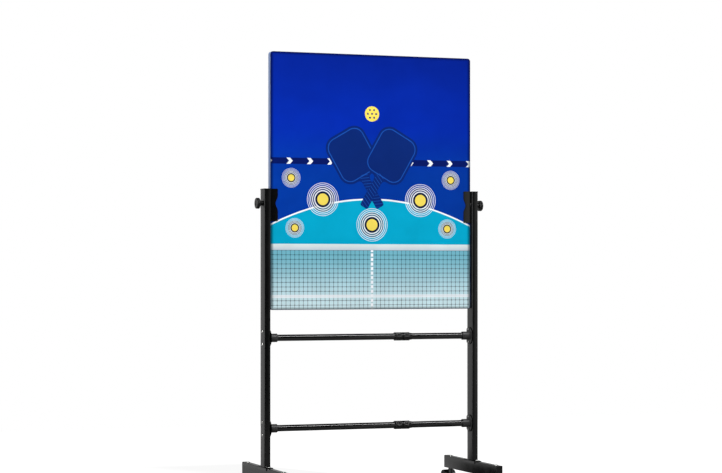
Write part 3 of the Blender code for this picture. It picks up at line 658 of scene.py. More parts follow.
def draw_dust(graph: Graph, where: Wire, colour: Wire, rough: Wire, amount: Wire) -> Sequence[Wire]:
    """Dust: patches of noise, denser towards the floor, which pale the colour and dull the gloss.

    Args:
        graph: the group's graph.
        where: the point.
        colour: the clean colour.
        rough: the clean roughness.
        amount: the dust's strength.

    Returns:
        The colour and the roughness.
    """
    low = graph.split(where)[2].ramp(0.0, 0.14, 1.0, 0.16, smooth=True)
    patches = graph.noise(where, 38.0, 5.0, 0.62).ramp(0.42, 0.78)
    specks = graph.noise(where, 900.0, 1.0).ramp(0.66, 0.74)
    share = graph.math("MULTIPLY", (patches * 0.7 + specks * 0.5) * low, amount, clamp=True)
    return graph.mix(share, colour, DUST), graph.math("ADD", rough, share * 0.5, clamp=True)


def draw_mottle(graph: Graph, where: Wire, colour: Wire, rough: Wire, scale: Wire,
                amount: Wire) -> Sequence[Wire]:
    """Slow variation: a broad noise that leans the colour and the gloss a little either way."""
    change = graph.noise(where, scale, 3.0, 0.6).ramp(0.3, 0.7, -1.0, 1.0) * amount
    return graph.scaled(colour, change + 1.0), graph.math("ADD", rough, change * 0.22, clamp=True)


def draw_disc(graph: Graph, where: Wire, centre: Wire, radius: Wire) -> Sequence[Wire]:
    """A round spot: 1 inside its radius, with a soft rim."""
    return [(graph.vector("DISTANCE", where, centre) - radius).below()]


def draw_target(graph: Graph, where: Wire, centre: Wire, size: Wire, colour: Wire) -> Sequence[Wire]:
    """A ring target: a yellow spot, a dark ring, and white rings that crowd together outwards.

    With s the distance over the size and t = s - 0.525, a white ring lies where 7.2 t + 2.6 t squared
    is whole, and the rings grow thinner outwards.

    Args:
        graph: the group's graph.
        where: the printed point.
        centre: the target's centre.
        size: its radius.
        colour: what it is printed on.

    Returns:
        The colour with the target on it.
    """
    share = graph.vector("DISTANCE", where, centre) / size
    past = share - 0.525
    off = abs((past * (past * 2.6 + 7.2) + 0.5).fraction() - 0.5)
    ring = (off - share.ramp(0.5, 1.0, 0.25, 0.15)).ramp(-0.05, 0.05, 1.0, 0.0)
    colour = graph.mix(share.ramp(0.74, 0.80, 0.70, 0.0), colour, DARK_INK)
    colour = graph.mix(ring * share.ramp(1.02, 1.03, 1.0, 0.0) * 0.9, colour, WHITE_INK)
    colour = graph.mix(share.ramp(0.475, 0.49, 1.0, 0.0), colour, DARK_INK)
    return [graph.mix(share.ramp(0.35, 0.365, 1.0, 0.0), colour, YELLOW_INK)]


def rounded_box_distance(graph: Graph, where: Wire, half: tuple[float, float], radius: float) -> Wire:
    """Signed distance to a round-cornered box about the origin: the part past its core, less the radius.

    Args:
        graph: the graph.
        where: the point.
        half: the box's half sizes.
        radius: its corner radius.

    Returns:
        The distance, below zero inside.
    """
    core = (half[0] - radius, half[1] - radius, 0.0)
    past = graph.vector("SUBTRACT", graph.vector("ABSOLUTE", where), core)
    beyond = graph.vector("LENGTH", graph.vector("MAXIMUM", past, (0.0, 0.0, 0.0)))
    across, along, _ = graph.split(past)
    return beyond + across.most(along).least(0.0) - radius


@dataclass(frozen=True)
class PaddleShape:
    """The printed paddle: sizes of its head, neck and grip."""

    head: tuple[float, float] = (0.090, 0.102)
    head_radius: float = 0.050
    grip: tuple[float, float] = (0.0180, 0.075)
    grip_radius: float = 0.008
    grip_drop: float = 0.160
    neck_blend: float = 0.027
    rim_inset: float = 0.0105
    rim_width: float = 0.0030
    wrap_pitch: float = 0.0130

    def draw(self, graph: Graph, where: Wire, centre: Wire, angle: Wire, colour: Wire) -> Sequence[Wire]:
        """A paddle about its head's centre, turned by an angle: head and grip are rounded boxes.

        Args:
            graph: the group's graph.
            where: the printed point.
            centre: the head's centre.
            angle: the paddle's turn.
            colour: what it is printed on.

        Returns:
            The colour with the paddle on it.
        """
        turn = graph.node("VectorRotate", graph.vector("SUBTRACT", where, centre), rotation_type="Z_AXIS")
        local = Wire(graph, graph.fill(turn, {"Angle": angle}).outputs[0])
        head = rounded_box_distance(graph, local, self.head, self.head_radius)
        lowered = graph.vector("ADD", local, (0.0, self.grip_drop, 0.0))
        grip = rounded_box_distance(graph, lowered, self.grip, self.grip_radius)
        colour = graph.mix(graph.math("SMOOTH_MIN", head, grip, self.neck_blend).below(), colour, NAVY_INK)
        half = self.rim_width / 2
        rim = abs(head + self.rim_inset).ramp(half, half + 2 * PRINT_EDGE, 1.0, 0.0)
        colour = graph.mix(rim * 0.7, colour, BLUE_INK)
        across, along, _ = graph.split(local)
        turns = ((along + across * 0.45) / self.wrap_pitch).fraction()
        wrap = turns.ramp(0.12, 0.2, 1.0, 0.0) * grip.ramp(-0.0016, -0.0010, 1.0, 0.0)
        return [graph.mix(wrap * 0.7, colour, BLUE_INK)]


@dataclass(frozen=True)
class Effects:
    """The shared node groups."""

    grain: bpy.types.NodeTree
    dust: bpy.types.NodeTree
    mottle: bpy.types.NodeTree
    disc: bpy.types.NodeTree
    target: bpy.types.NodeTree
    paddle: bpy.types.NodeTree

    @classmethod
    def build(cls) -> "Effects":
        """Builds every group once."""
        return cls(
            effect("surface_grain", "Vector Scale", "Height Mask", draw_grain),
            effect("floor_dust", "Vector Colour Roughness Amount", "Colour Roughness", draw_dust),
            effect("slow_mottle", "Vector Colour Roughness Scale Amount", "Colour Roughness", draw_mottle),
            effect("printed_disc", "Vector Centre Radius", "Mask", draw_disc),
            effect("printed_target", "Vector Centre Size Colour", "Colour", draw_target),
            effect("printed_paddle", "Vector Centre Angle Colour", "Colour", PaddleShape().draw),
        )


def new_material(name: str) -> tuple[bpy.types.Material, Graph, bpy.types.Node]:
    """A new node material, its graph and its shader.

    Args:
        name: the material's name.

    Returns:
        The material, its graph and its shader.
    """
    material = bpy.data.materials.new(name)
    material.use_nodes = True
    return material, Graph(material.node_tree), material.node_tree.nodes["Principled BSDF"]


@dataclass(frozen=True)
class Finish:
    """A finish: grain, slow mottle and dust, with or without brushing and a colour for front and rear."""

    name: str
    slot: str
    colour: Colour
    roughness: float
    metallic: float = 0.0
    specular: float = 0.5
    grain_scale: float = 1500.0
    grain_depth: float = 0.00004
    grain_tint: float = 0.12
    mottle_scale: float = 22.0
    mottle_amount: float = 0.14
    dust_amount: float = 0.22
    brushing: Point | None = None
    brushing_share: float = 0.5
    face_colour: Colour | None = None

    def material(self, effects: Effects) -> bpy.types.Material:
        """The finish as a material.

        Args:
            effects: the shared groups.

        Returns:
            The material.
        """
        material, graph, shader = new_material(self.name)
        where = graph.where()
        height, mask = graph.use(effects.grain, where, self.grain_scale)
        colour, rough = graph.use(effects.mottle, where, self.colour, self.roughness, self.mottle_scale,
                                  self.mottle_amount)
        tinted = graph.vector("MULTIPLY", colour, graph.mix(mask, (1 - self.grain_tint,) * 3, WHITE))
        colour, rough = graph.use(effects.dust, where, tinted, rough, self.dust_amount)
        if self.brushing is not None:
            strokes = graph.noise(graph.stretched(where, self.brushing), 1.0, 3.0, 0.65)
            height = height * (1 - self.brushing_share) + strokes * self.brushing_share
            rough = graph.math("ADD", rough, strokes.ramp(0.3, 0.7, -0.08, 0.08), clamp=True)
        if self.face_colour is not None:
            facing = abs(graph.split(graph.where("Normal"))[1])
            colour = graph.mix(facing.ramp(0.55, 0.80), colour, self.face_colour)
        graph.dress(shader, colour, rough, self.specular, height, self.grain_depth)
        graph.fill(shader, {"Metallic": self.metallic})
        return material


@dataclass(frozen=True)
class CourtPrint:
    """The panel's print: sky blue ground, court, net, paddles and ring targets.

    Own axes: U is X from the panel's middle, V is the height above its lower edge.
    """

    name: str = "court_print"
    slot: str = "panel_print"
    specular: float = 0.05
    ground_high: Colour = (0.0008, 0.0130, 0.228)
    ground_middle: Colour = (0.0008, 0.0210, 0.360)
    ground_low: Colour = (0.0008, 0.0370, 0.325)
    court: Colour = (0.0012, 0.372, 0.590)
    net_high: Colour = (0.165, 0.460, 0.570)
    net_low: Colour = (0.620, 0.800, 0.850)
    cord: Colour = (0.008, 0.040, 0.065)
    tape_low: float = 0.232
    tape_high: float = 0.256
    tape_shade: Colour = (0.53, 0.60, 0.67)
    tape_light: Colour = (0.74, 0.84, 0.83)
    stitch: Colour = (0.42, 0.48, 0.60)
    stitch_inset: tuple[float, float] = (0.0032, 0.0041)
    mesh_pitch: float = 0.0178
    cord_width: float = 0.0017
    knot_width: float = 2.6
    lower_cord: tuple[float, float] = (0.046, 0.058)
    strap_half: float = 0.0052
    strap_fill: float = 0.74
    arch_top: float = 0.432
    arch_fall: float = 0.58
    arch_line: float = 0.0032
    band: tuple[float, float] = (0.566, 0.590)
    mark_pitch: float = 0.084
    mark_width: float = 0.0150
    mark_lean: float = 0.9
    middle_targets: tuple[Point, ...] = ((0.205, 0.430, 0.064), (0.0, 0.332, 0.064))
    outer_targets: tuple[Point, ...] = ((0.335, 0.512, 0.037), (0.320, 0.318, 0.037))
    paddle_centre: tuple[float, float] = (0.082, 0.605)
    paddle_angle: float = math.radians(30)
    ball_centre: tuple[float, float] = (0.0, 0.768)
    ball_radius: float = 0.030
    hole_ring: float = 0.58
    hole_size: float = 0.13
    half_width: float = 0.418
    height: float = 1.0
    border: tuple[float, float] = (0.001, 0.014)
    border_shade: float = 0.30
    gloss: float = 0.33
    grain_depth: float = 0.00002

    def bordered(self, graph: Graph, across: Wire, up: Wire, colour: Wire) -> Wire:
        """The print darkened towards the panel's edge, by the distance to the nearest side."""
        inward = (self.half_width - abs(across)).least(up.least(self.height - up))
        return graph.scaled(colour, inward.ramp(*self.border, self.border_shade, 1.0, smooth=True))

    def ground(self, graph: Graph, across: Wire, up: Wire) -> Wire:
        """The blue ground: dark at the top, brightest in the middle, with a faint cloud in it.

        Args:
            graph: the print's graph.
            across: U.
            up: V.

        Returns:
            The ground's colour.
        """
        upper = graph.mix(up.ramp(0.70, 1.04, smooth=True), self.ground_middle, self.ground_high)
        colour = graph.mix(up.ramp(0.50, 0.74, smooth=True), self.ground_low, upper)
        cloud = graph.noise(graph.stretched(graph.where(), (1.0, 1.0, 1.7)), 3.2, 3.0, 0.55)
        return graph.scaled(colour, cloud.ramp(0.3, 0.7, 0.93, 1.07) + across * -0.16)

    def net(self, graph: Graph, across: Wire, up: Wire, colour: Wire) -> Wire:
        """The net under its tape: a square mesh of thin cords, a strap in the middle and a lower cord.

        Args:
            graph: the print's graph.
            across: U.
            up: V.
            colour: the layers below.

        Returns:
            The colour with the net on it.
        """
        netted = graph.mix(up.ramp(0.0, self.tape_low, smooth=True), self.net_low, self.net_high)
        upright, level = (way.lines(self.mesh_pitch, self.cord_width) for way in (across, up))
        knots = [way.lines(self.mesh_pitch, self.cord_width * self.knot_width) for way in (across, up)]
        twist = (across + up).lines(0.0046, 0.0023).ramp(0.0, 1.0, 0.62, 0.95)
        netted = graph.mix(upright.most(level).most(knots[0] * knots[1]) * twist, netted, self.cord)
        threads = up.lines(self.mesh_pitch, self.mesh_pitch * self.strap_fill)
        strap = across.strip(-self.strap_half, self.strap_half) * threads
        netted = graph.mix(strap, netted, WHITE_INK)
        netted = graph.mix(up.strip(*self.lower_cord) * 0.8, netted, WHITE_INK)
        return graph.mix(up.ramp(self.tape_low - PRINT_EDGE, self.tape_low + PRINT_EDGE), netted, colour)

    def tape(self, graph: Graph, up: Wire, colour: Wire) -> Wire:
        """The net's tape: white, shaded towards its lower edge, with two stitch lines.

        Args:
            graph: the print's graph.
            up: V.
            colour: the layers below.

        Returns:
            The colour with the tape on it.
        """
        cloth = graph.mix(up.ramp(self.tape_low, self.tape_high), self.tape_shade, self.tape_light)
        near, far = self.stitch_inset
        stitches = up.strip(self.tape_low + near, self.tape_low + far).most(
            up.strip(self.tape_high - far, self.tape_high - near))
        cloth = graph.mix(stitches * 0.5, cloth, self.stitch)
        return graph.mix(up.strip(self.tape_low, self.tape_high), colour, cloth)

    def court_field(self, graph: Graph, across: Wire, up: Wire, colour: Wire) -> Wire:
        """The turquoise court under an arch: its upper edge falls with the square of U.

        Args:
            graph: the print's graph.
            across: U.
            up: V.
            colour: the layers below.

        Returns:
            The colour with the court on it.
        """
        above = up - (self.arch_top - across * across * self.arch_fall)
        colour = graph.mix(above.below(), colour, self.court)
        return graph.mix(above.strip(-self.arch_line, self.arch_line), colour, WHITE_INK)

    def marked_band(self, graph: Graph, across: Wire, up: Wire, colour: Wire) -> Wire:
        """The navy band with white chevrons: lines of U shifted by the distance from the band's middle.

        Args:
            graph: the print's graph.
            across: U.
            up: V.
            colour: the layers below.

        Returns:
            The colour with the band on it.
        """
        away = abs(up - sum(self.band) / 2)
        marks = (across + away * self.mark_lean).lines(self.mark_pitch, self.mark_width)
        band = up.strip(*self.band)
        return graph.mix(band * marks, graph.mix(band, colour, BAND_INK), WHITE_INK)

    def emblem(self, graph: Graph, effects: Effects, flat: Wire, colour: Wire) -> Wire:
        """Two crossed paddles with a ball over them.

        Args:
            graph: the print's graph.
            effects: the shared groups.
            flat: U and V as one vector.
            colour: the layers below.

        Returns:
            The colour with the emblem on it.
        """
        for sign in (-1, 1):
            centre = (sign * self.paddle_centre[0], self.paddle_centre[1], 0.0)
            colour, = graph.use(effects.paddle, flat, centre, sign * self.paddle_angle, colour)
        ball = (*self.ball_centre, 0.0)
        colour = graph.mix(graph.use(effects.disc, flat, ball, self.ball_radius)[0], colour, YELLOW_INK)
        ring = self.hole_ring * self.ball_radius
        for away, angle in [(0.0, 0.0)] + [(ring, step * FULL_TURN / 6) for step in range(6)]:
            centre = (ball[0] + away * math.cos(angle), ball[1] + away * math.sin(angle), 0.0)
            hole, = graph.use(effects.disc, flat, centre, self.ball_radius * self.hole_size)
            colour = graph.mix(hole, colour, NAVY_INK)
        return colour

    def material(self, effects: Effects) -> bpy.types.Material:
        """The print as a material, its layers laid on from the ground up.

        Args:
            effects: the shared groups.

        Returns:
            The material.
        """
        material, graph, shader = new_material(self.name)
        where = graph.where()
        across, _, level = graph.split(where)
        up = level - Span.of("board_edge_band").low[2]
        flat = graph.wire("CombineXYZ", across, up)
        colour = self.court_field(graph, across, up, self.ground(graph, across, up))
        colour = self.marked_band(graph, across, up, colour)
        colour = self.emblem(graph, effects, flat, colour)
        for u, v, size in self.middle_targets + self.outer_targets:
            for sign in (-1, 1) if u else (1,):
                colour, = graph.use(effects.target, flat, (sign * u, v, 0.0), size, colour)
        colour = self.net(graph, across, up, colour)
        colour = self.bordered(graph, across, up, self.tape(graph, up, colour))
        colour, rough = graph.use(effects.mottle, where, colour, self.gloss, 9.0, 0.05)
        height, _ = graph.use(effects.grain, where, 1100.0)
        graph.dress(shader, colour, rough, self.specular, height, self.grain_depth)
        return material


POWDER = Finish("black_powder_coat", "powder_coat", (0.0020, 0.0021, 0.0022), 0.18, grain_depth=0.000008,
                dust_amount=0.03)
RAIL_COAT = replace(POWDER, name="black_rail_coat", roughness=0.12, specular=0.75)
NYLON = Finish("black_moulded_nylon", "moulded_black", (0.0018, 0.0018, 0.0019), 0.28, grain_scale=2600.0,
               grain_depth=0.000008, mottle_amount=0.10, dust_amount=0.03)
SOCKET = replace(NYLON, name="black_socket_nylon", colour=(0.034, 0.034, 0.035), roughness=0.40,
                 specular=0.45)
# Painted shade: a near-black, dull sheet put under each socket's flange where shade falls, seen as a dark
# crescent at the front.
PAINTED_SHADE_RING = replace(NYLON, name="dull_black_gasket", colour=(0.0006, 0.0006, 0.0006), roughness=0.80,
                 specular=0.02)
BOLT = Finish("bright_zinc", "bright_bolt", (0.84, 0.84, 0.81), 0.24, metallic=1.0, grain_scale=900.0,
              grain_depth=0.000008, mottle_scale=160.0, dust_amount=0.06, brushing=(500.0, 4000.0, 500.0))
STEEL = Finish("dark_steel", "dark_steel", (0.115, 0.115, 0.120), 0.36, metallic=1.0, grain_scale=1200.0,
               grain_depth=0.00003, mottle_scale=90.0, brushing=(600.0, 600.0, 5000.0), brushing_share=0.45)
TYRE = Finish("wheel_tyre", "wheel_tread", (0.0145, 0.0145, 0.0150), 0.60, grain_scale=700.0,
              grain_depth=0.00009, mottle_scale=60.0, mottle_amount=0.22, dust_amount=0.34)
BAND = Finish("pale_edge_band", "panel_edge", (0.270, 0.375, 0.660), 0.42, grain_scale=1300.0,
              grain_depth=0.00003, mottle_amount=0.06, dust_amount=0.05, brushing=(3000.0, 60.0, 3000.0),
              face_colour=(0.0010, 0.0060, 0.0700))
CORE = Finish("board_core_fibre", "panel_core", (0.42, 0.29, 0.16), 0.80, grain_scale=600.0,
              grain_depth=0.00015, grain_tint=0.35, mottle_scale=40.0, mottle_amount=0.18,
              brushing=(40.0, 1400.0, 40.0))
PRINT = CourtPrint()


@dataclass
class Bench:
    """Turns shells into dressed pieces that ride on the frame's bodies."""

    effects: Effects
    materials: dict[str, bpy.types.Material] = field(default_factory=dict)
    made: int = 0

    def finish(self, finish: Finish | CourtPrint) -> bpy.types.Material:
        """The material of a finish, made when it is first used.

        Args:
            finish: the finish.

        Returns:
            Its material.
        """
        if finish.name not in self.materials:
            self.materials[finish.name] = finish.material(self.effects)
        return self.materials[finish.name]

    def add(self, name: str, shell: Shell, finish: Finish | CourtPrint, body: str, node: str | None = None,
            edge: float = 0.0) -> None:
        """Makes one piece from a closed shell.

        Args:
            name: the piece's name.
            shell: its surface, in the frame's axes.
            finish: what it is dressed in.
            body: the body that it rides on.
            node: the CAD node that it stands for.
            edge: the radius of a bevel on its sharp edges, or 0.
        """
        piece = linked(name, shell)
        piece.data.shade_smooth()
        piece.data.set_sharp_from_angle(angle=SHARP_ANGLE)
        piece.data.materials.append(self.finish(finish))
        if edge > 0:
            bevel = piece.modifiers.new("edge", "BEVEL")
            bevel.width, bevel.segments, bevel.harden_normals = edge, 2, True
            bevel.limit_method, bevel.angle_limit = "ANGLE", BEVEL_ANGLE
        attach(piece, body)
        if node is not None:
            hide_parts(node)
        self.made += 1
        LOG.info("%s: %d faces, rides on %s", name, len(piece.data.polygons), body)


@dataclass
class Panel:
    """The printed panel: core, two sheets and the edge band."""

    bench: Bench
    corner: float = 0.012
    sheet_edge: float = 0.0003
    band_edge: float = 0.0005
    band_wall: float = 0.0012
    corner_steps: int = 16

    def layer(self, node: str, name: str, stations: np.ndarray, finish: Finish | CourtPrint,
              ring: bool) -> None:
        """One sheet or the band: a rectangle with round corners, carried to the rear.

        Args:
            node: the CAD node.
            name: the piece's name.
            stations: rows of depth and inset.
            finish: what it is dressed in.
            ring: the stations close on themselves.
        """
        box = Span.of(node)
        radius = self.corner - (Span.of("board_edge_band").size[0] - box.size[0]) / 2
        shell = prism(box.size[0], box.size[2], radius, stations, ring, self.corner_steps)
        place = Place((box.middle[0], box.low[1], box.middle[2]), height=REARWARD)
        self.bench.add(name, shell.placed(place), finish, "board", node)

    def build(self) -> None:
        """Builds the panel's pieces and dresses its core."""
        for node in ("front_print_sheet", "back_print_sheet"):
            stations = plate_stations(Span.of(node).size[1], self.sheet_edge)
            self.layer(node, f"{node}_skin", stations, PRINT, ring=False)
        node = "board_edge_band"
        depth, wall, edge = Span.of(node).size[1], self.band_wall, self.band_edge
        trim = rounded_path([(0, wall, 0), (0, 0, edge), (depth, 0, edge), (depth, wall, 0)])
        self.layer(node, f"{node}_trim", trim, BAND, ring=True)
        core = frame["nodes"]["board_core"]
        core.data.materials.clear()
        core.data.materials.append(self.bench.finish(CORE))


@dataclass
class TiltJoint:
    """What the panel turns on at one side: clamp, stud and clamping knob."""

    bench: Bench
    side: Side
    metal: float = 0.0012
    bend: float = 0.0020
    waist_depth: float = 0.0090
    waist_half_height: float = 0.030
    tip_corner: float = 0.0035
    pivot_height: float = 1.131786
    collar_thick: float = 0.0008
    shank: float = 0.006
    knob_radius: float = 0.021
    knob_hub: float = 0.0095
    knob_bore: float = 0.0063
    knob_depth: float = 0.020
    knob_thick: float = 0.0135
    flute_radius: float = 0.0045
    flute_depth: float = 0.0020
    flute_soft: float = 0.0006
    flutes: int = 8

    @property
    def body(self) -> str:
        """The body that turns with the panel at this side."""
        return "board" if self.side is Side.LEFT else "right_clamp"

    def on_axis(self, x: float) -> Place:
        """A place on the tilt axis, at a distance from the middle plane, that faces outwards."""
        return Place((self.side.value * x, 0, self.pivot_height), height=self.side.out, side=REARWARD)

    def clamp(self) -> None:
        """The clamp: a channel whose flanges are waisted by a raised cosine and have round corners."""
        node = f"{self.side.label}_clamp"
        box = Span.of(node)
        near, far = box.reach
        half = box.size[2] / 2
        height = box.middle[2] + half * spread(81)
        off = np.clip((height - self.pivot_height) / self.waist_half_height, -1, 1)
        waist = self.waist_depth * (1 + np.cos(math.pi * off)) / 2
        to_end = np.minimum(height - box.low[2], box.high[2] - height)
        tips = far - near - waist - rounding(to_end, self.tip_corner)
        shell = channel(box.size[1] / 2, self.metal, self.bend, height, tips)
        place = Place((self.side.value * far, 0, 0), side=(0.0, float(self.side.value), 0.0))
        self.bench.add(f"{node}_channel", shell.placed(place), POWDER, self.body, node, TUBE_BEVEL)

    def stud(self) -> None:
        """The pivot stud: collar, shank and a chamfered tip."""
        node = f"{self.side.label}_pivot_stud"
        box = Span.of(node)
        near, far = box.reach
        collar, shank, thick, length, tip = box.size[1] / 2, self.shank, self.collar_thick, far - near, 0.0010
        profile = rounded_path([(0, 0, 0), (collar, 0, 0.0002), (collar, thick, 0.0002), (shank, thick, 0),
                                (shank, length - tip, 0), (shank - tip, length, 0), (0, length, 0)])
        self.bench.add(f"{node}_turned", turned(profile).placed(self.on_axis(near)), STEEL, self.body, node)

    def knob(self) -> None:
        """The knob: a turned profile whose head is scalloped.

        A scallop is a circle about a point outside the head. At an angle a from it, the radius is
        D cos a less the root of R squared less the square of D sin a, and the lesser radius wins softly.
        """
        node = f"{self.side.label}_clamping_knob"
        near, far = Span.of(node).reach
        length, radius, hub = far - near, self.knob_radius, self.knob_hub
        bore, depth = self.knob_bore, self.knob_depth
        neck = length - self.knob_thick
        corners = [
            (0, length - 0.0012, 0), (0.0072, length - 0.0012, 0.0004), (0.0084, length, 0.0004),
            (radius - 0.0016, length, 0.0012), (radius, length - 0.0016, 0.0012),
            (radius, neck + 0.0014, 0.0011), (radius - 0.0014, neck, 0.0011), (hub, neck, 0.0022),
            (hub, 0.0006, 0.0005), (hub - 0.0008, 0, 0.0003), (bore, 0, 0), (bore, depth, 0), (0, depth, 0),
        ]
        centre = radius + self.flute_radius - self.flute_depth

        def scalloped(radii: np.ndarray, heights: np.ndarray, angles: np.ndarray) -> np.ndarray:
            """The radius after the scallops, softly the lesser of the two.

            Args:
                radii: the profile's radii.
                heights: its heights.
                angles: the angles round it.

            Returns:
                The radii.
            """
            step = FULL_TURN / self.flutes
            off = (angles % step) - step / 2
            root = np.clip(self.flute_radius**2 - (centre * np.sin(off)) ** 2, 0, None)
            wall = np.where(root > 0, centre * np.cos(off) - np.sqrt(root), radius * 1.2)
            gap = np.clip(0.5 + (wall - radii) / (4 * self.flute_soft), 0, 1)
            lesser = wall * (1 - gap) + radii * gap - 2 * self.flute_soft * gap * (1 - gap)
            return np.where((heights > neck - 0.0005) & (radii > 0.0125), lesser, radii)

        shell = turned(rounded_path(corners, 6), 192, outline=scalloped).placed(self.on_axis(near))
        self.bench.add(f"{node}_moulding", shell, NYLON, f"{self.side.label}_knob", node)

    def build(self) -> None:
        """Builds the clamp, the stud and the knob."""
        self.clamp()
        self.stud()
        self.knob()


def flange_nut(across_flats: float, flange: float, bore: float, height: float = 0.0028) -> Shell:
    """A hexagon nut on a round flange: the lesser of a hexagon and a cone, closed round its bore.

    Args:
        across_flats: the hexagon's width.
        flange: the flange's radius.
        bore: the bore's radius.
        height: the nut's height.

    Returns:
        The closed surface.
    """
    corner = across_flats / 2 / math.cos(math.pi / 6)
    corners = [
        (flange, 0, 0), (flange, 0.0008, 0.0003), (corner + 0.0004, 0.0014, 0.0004), (corner, 0.0016, 0),
        (corner, height - 0.0008, 0), (across_flats / 2 - 0.0003, height, 0), (bore + 0.0004, height, 0),
        (bore, height - 0.0004, 0), (bore, 0, 0),
    ]

    def hexagonal(radii: np.ndarray, heights: np.ndarray, angles: np.ndarray) -> np.ndarray:
        """The hexagon where the profile lies above the flange."""
        above = (heights > 0.0015) & (radii > bore + 0.0005)
        return np.where(above, np.minimum(radii, hexagon(angles, across_flats)), radii)

    return turned(rounded_path(corners, 3), 96, ring=True, outline=hexagonal)


def socket_screw(head: float, height: float, shank: float, length: float, key: float) -> Shell:
    """A domed screw with a hexagon socket: head as an ellipse's quarter, shank below zero height.

    Args:
        head: the head's radius.
        height: the head's height.
        shank: the shank's radius.
        length: the shank's length.
        key: the socket's width across flats.

    Returns:
        The closed surface.
    """
    angle = np.linspace(math.radians(22), math.pi / 2, 12)
    dome = np.column_stack([head * np.sin(angle), 0.0003 + (height - 0.0003) * np.cos(angle)])
    wall, floor = key / 2 + 0.0003, height * 0.42
    rim = np.array([(0, floor), (wall - 0.0003, floor), (wall, floor), (wall, height * 0.90)])
    tail = np.array([(head, 0), (shank, 0), (shank, -length + 0.0008), (shank - 0.0008, -length),
                     (0, -length)])

    def keyed(radii: np.ndarray, heights: np.ndarray, angles: np.ndarray) -> np.ndarray:
        """The hexagon inside the head's socket."""
        inside = (radii > 0) & (radii <= wall) & (heights >= floor)
        return np.where(inside, np.minimum(radii, hexagon(angles, key)), radii)

    return turned(np.vstack([rim, dome, tail]), 72, outline=keyed)


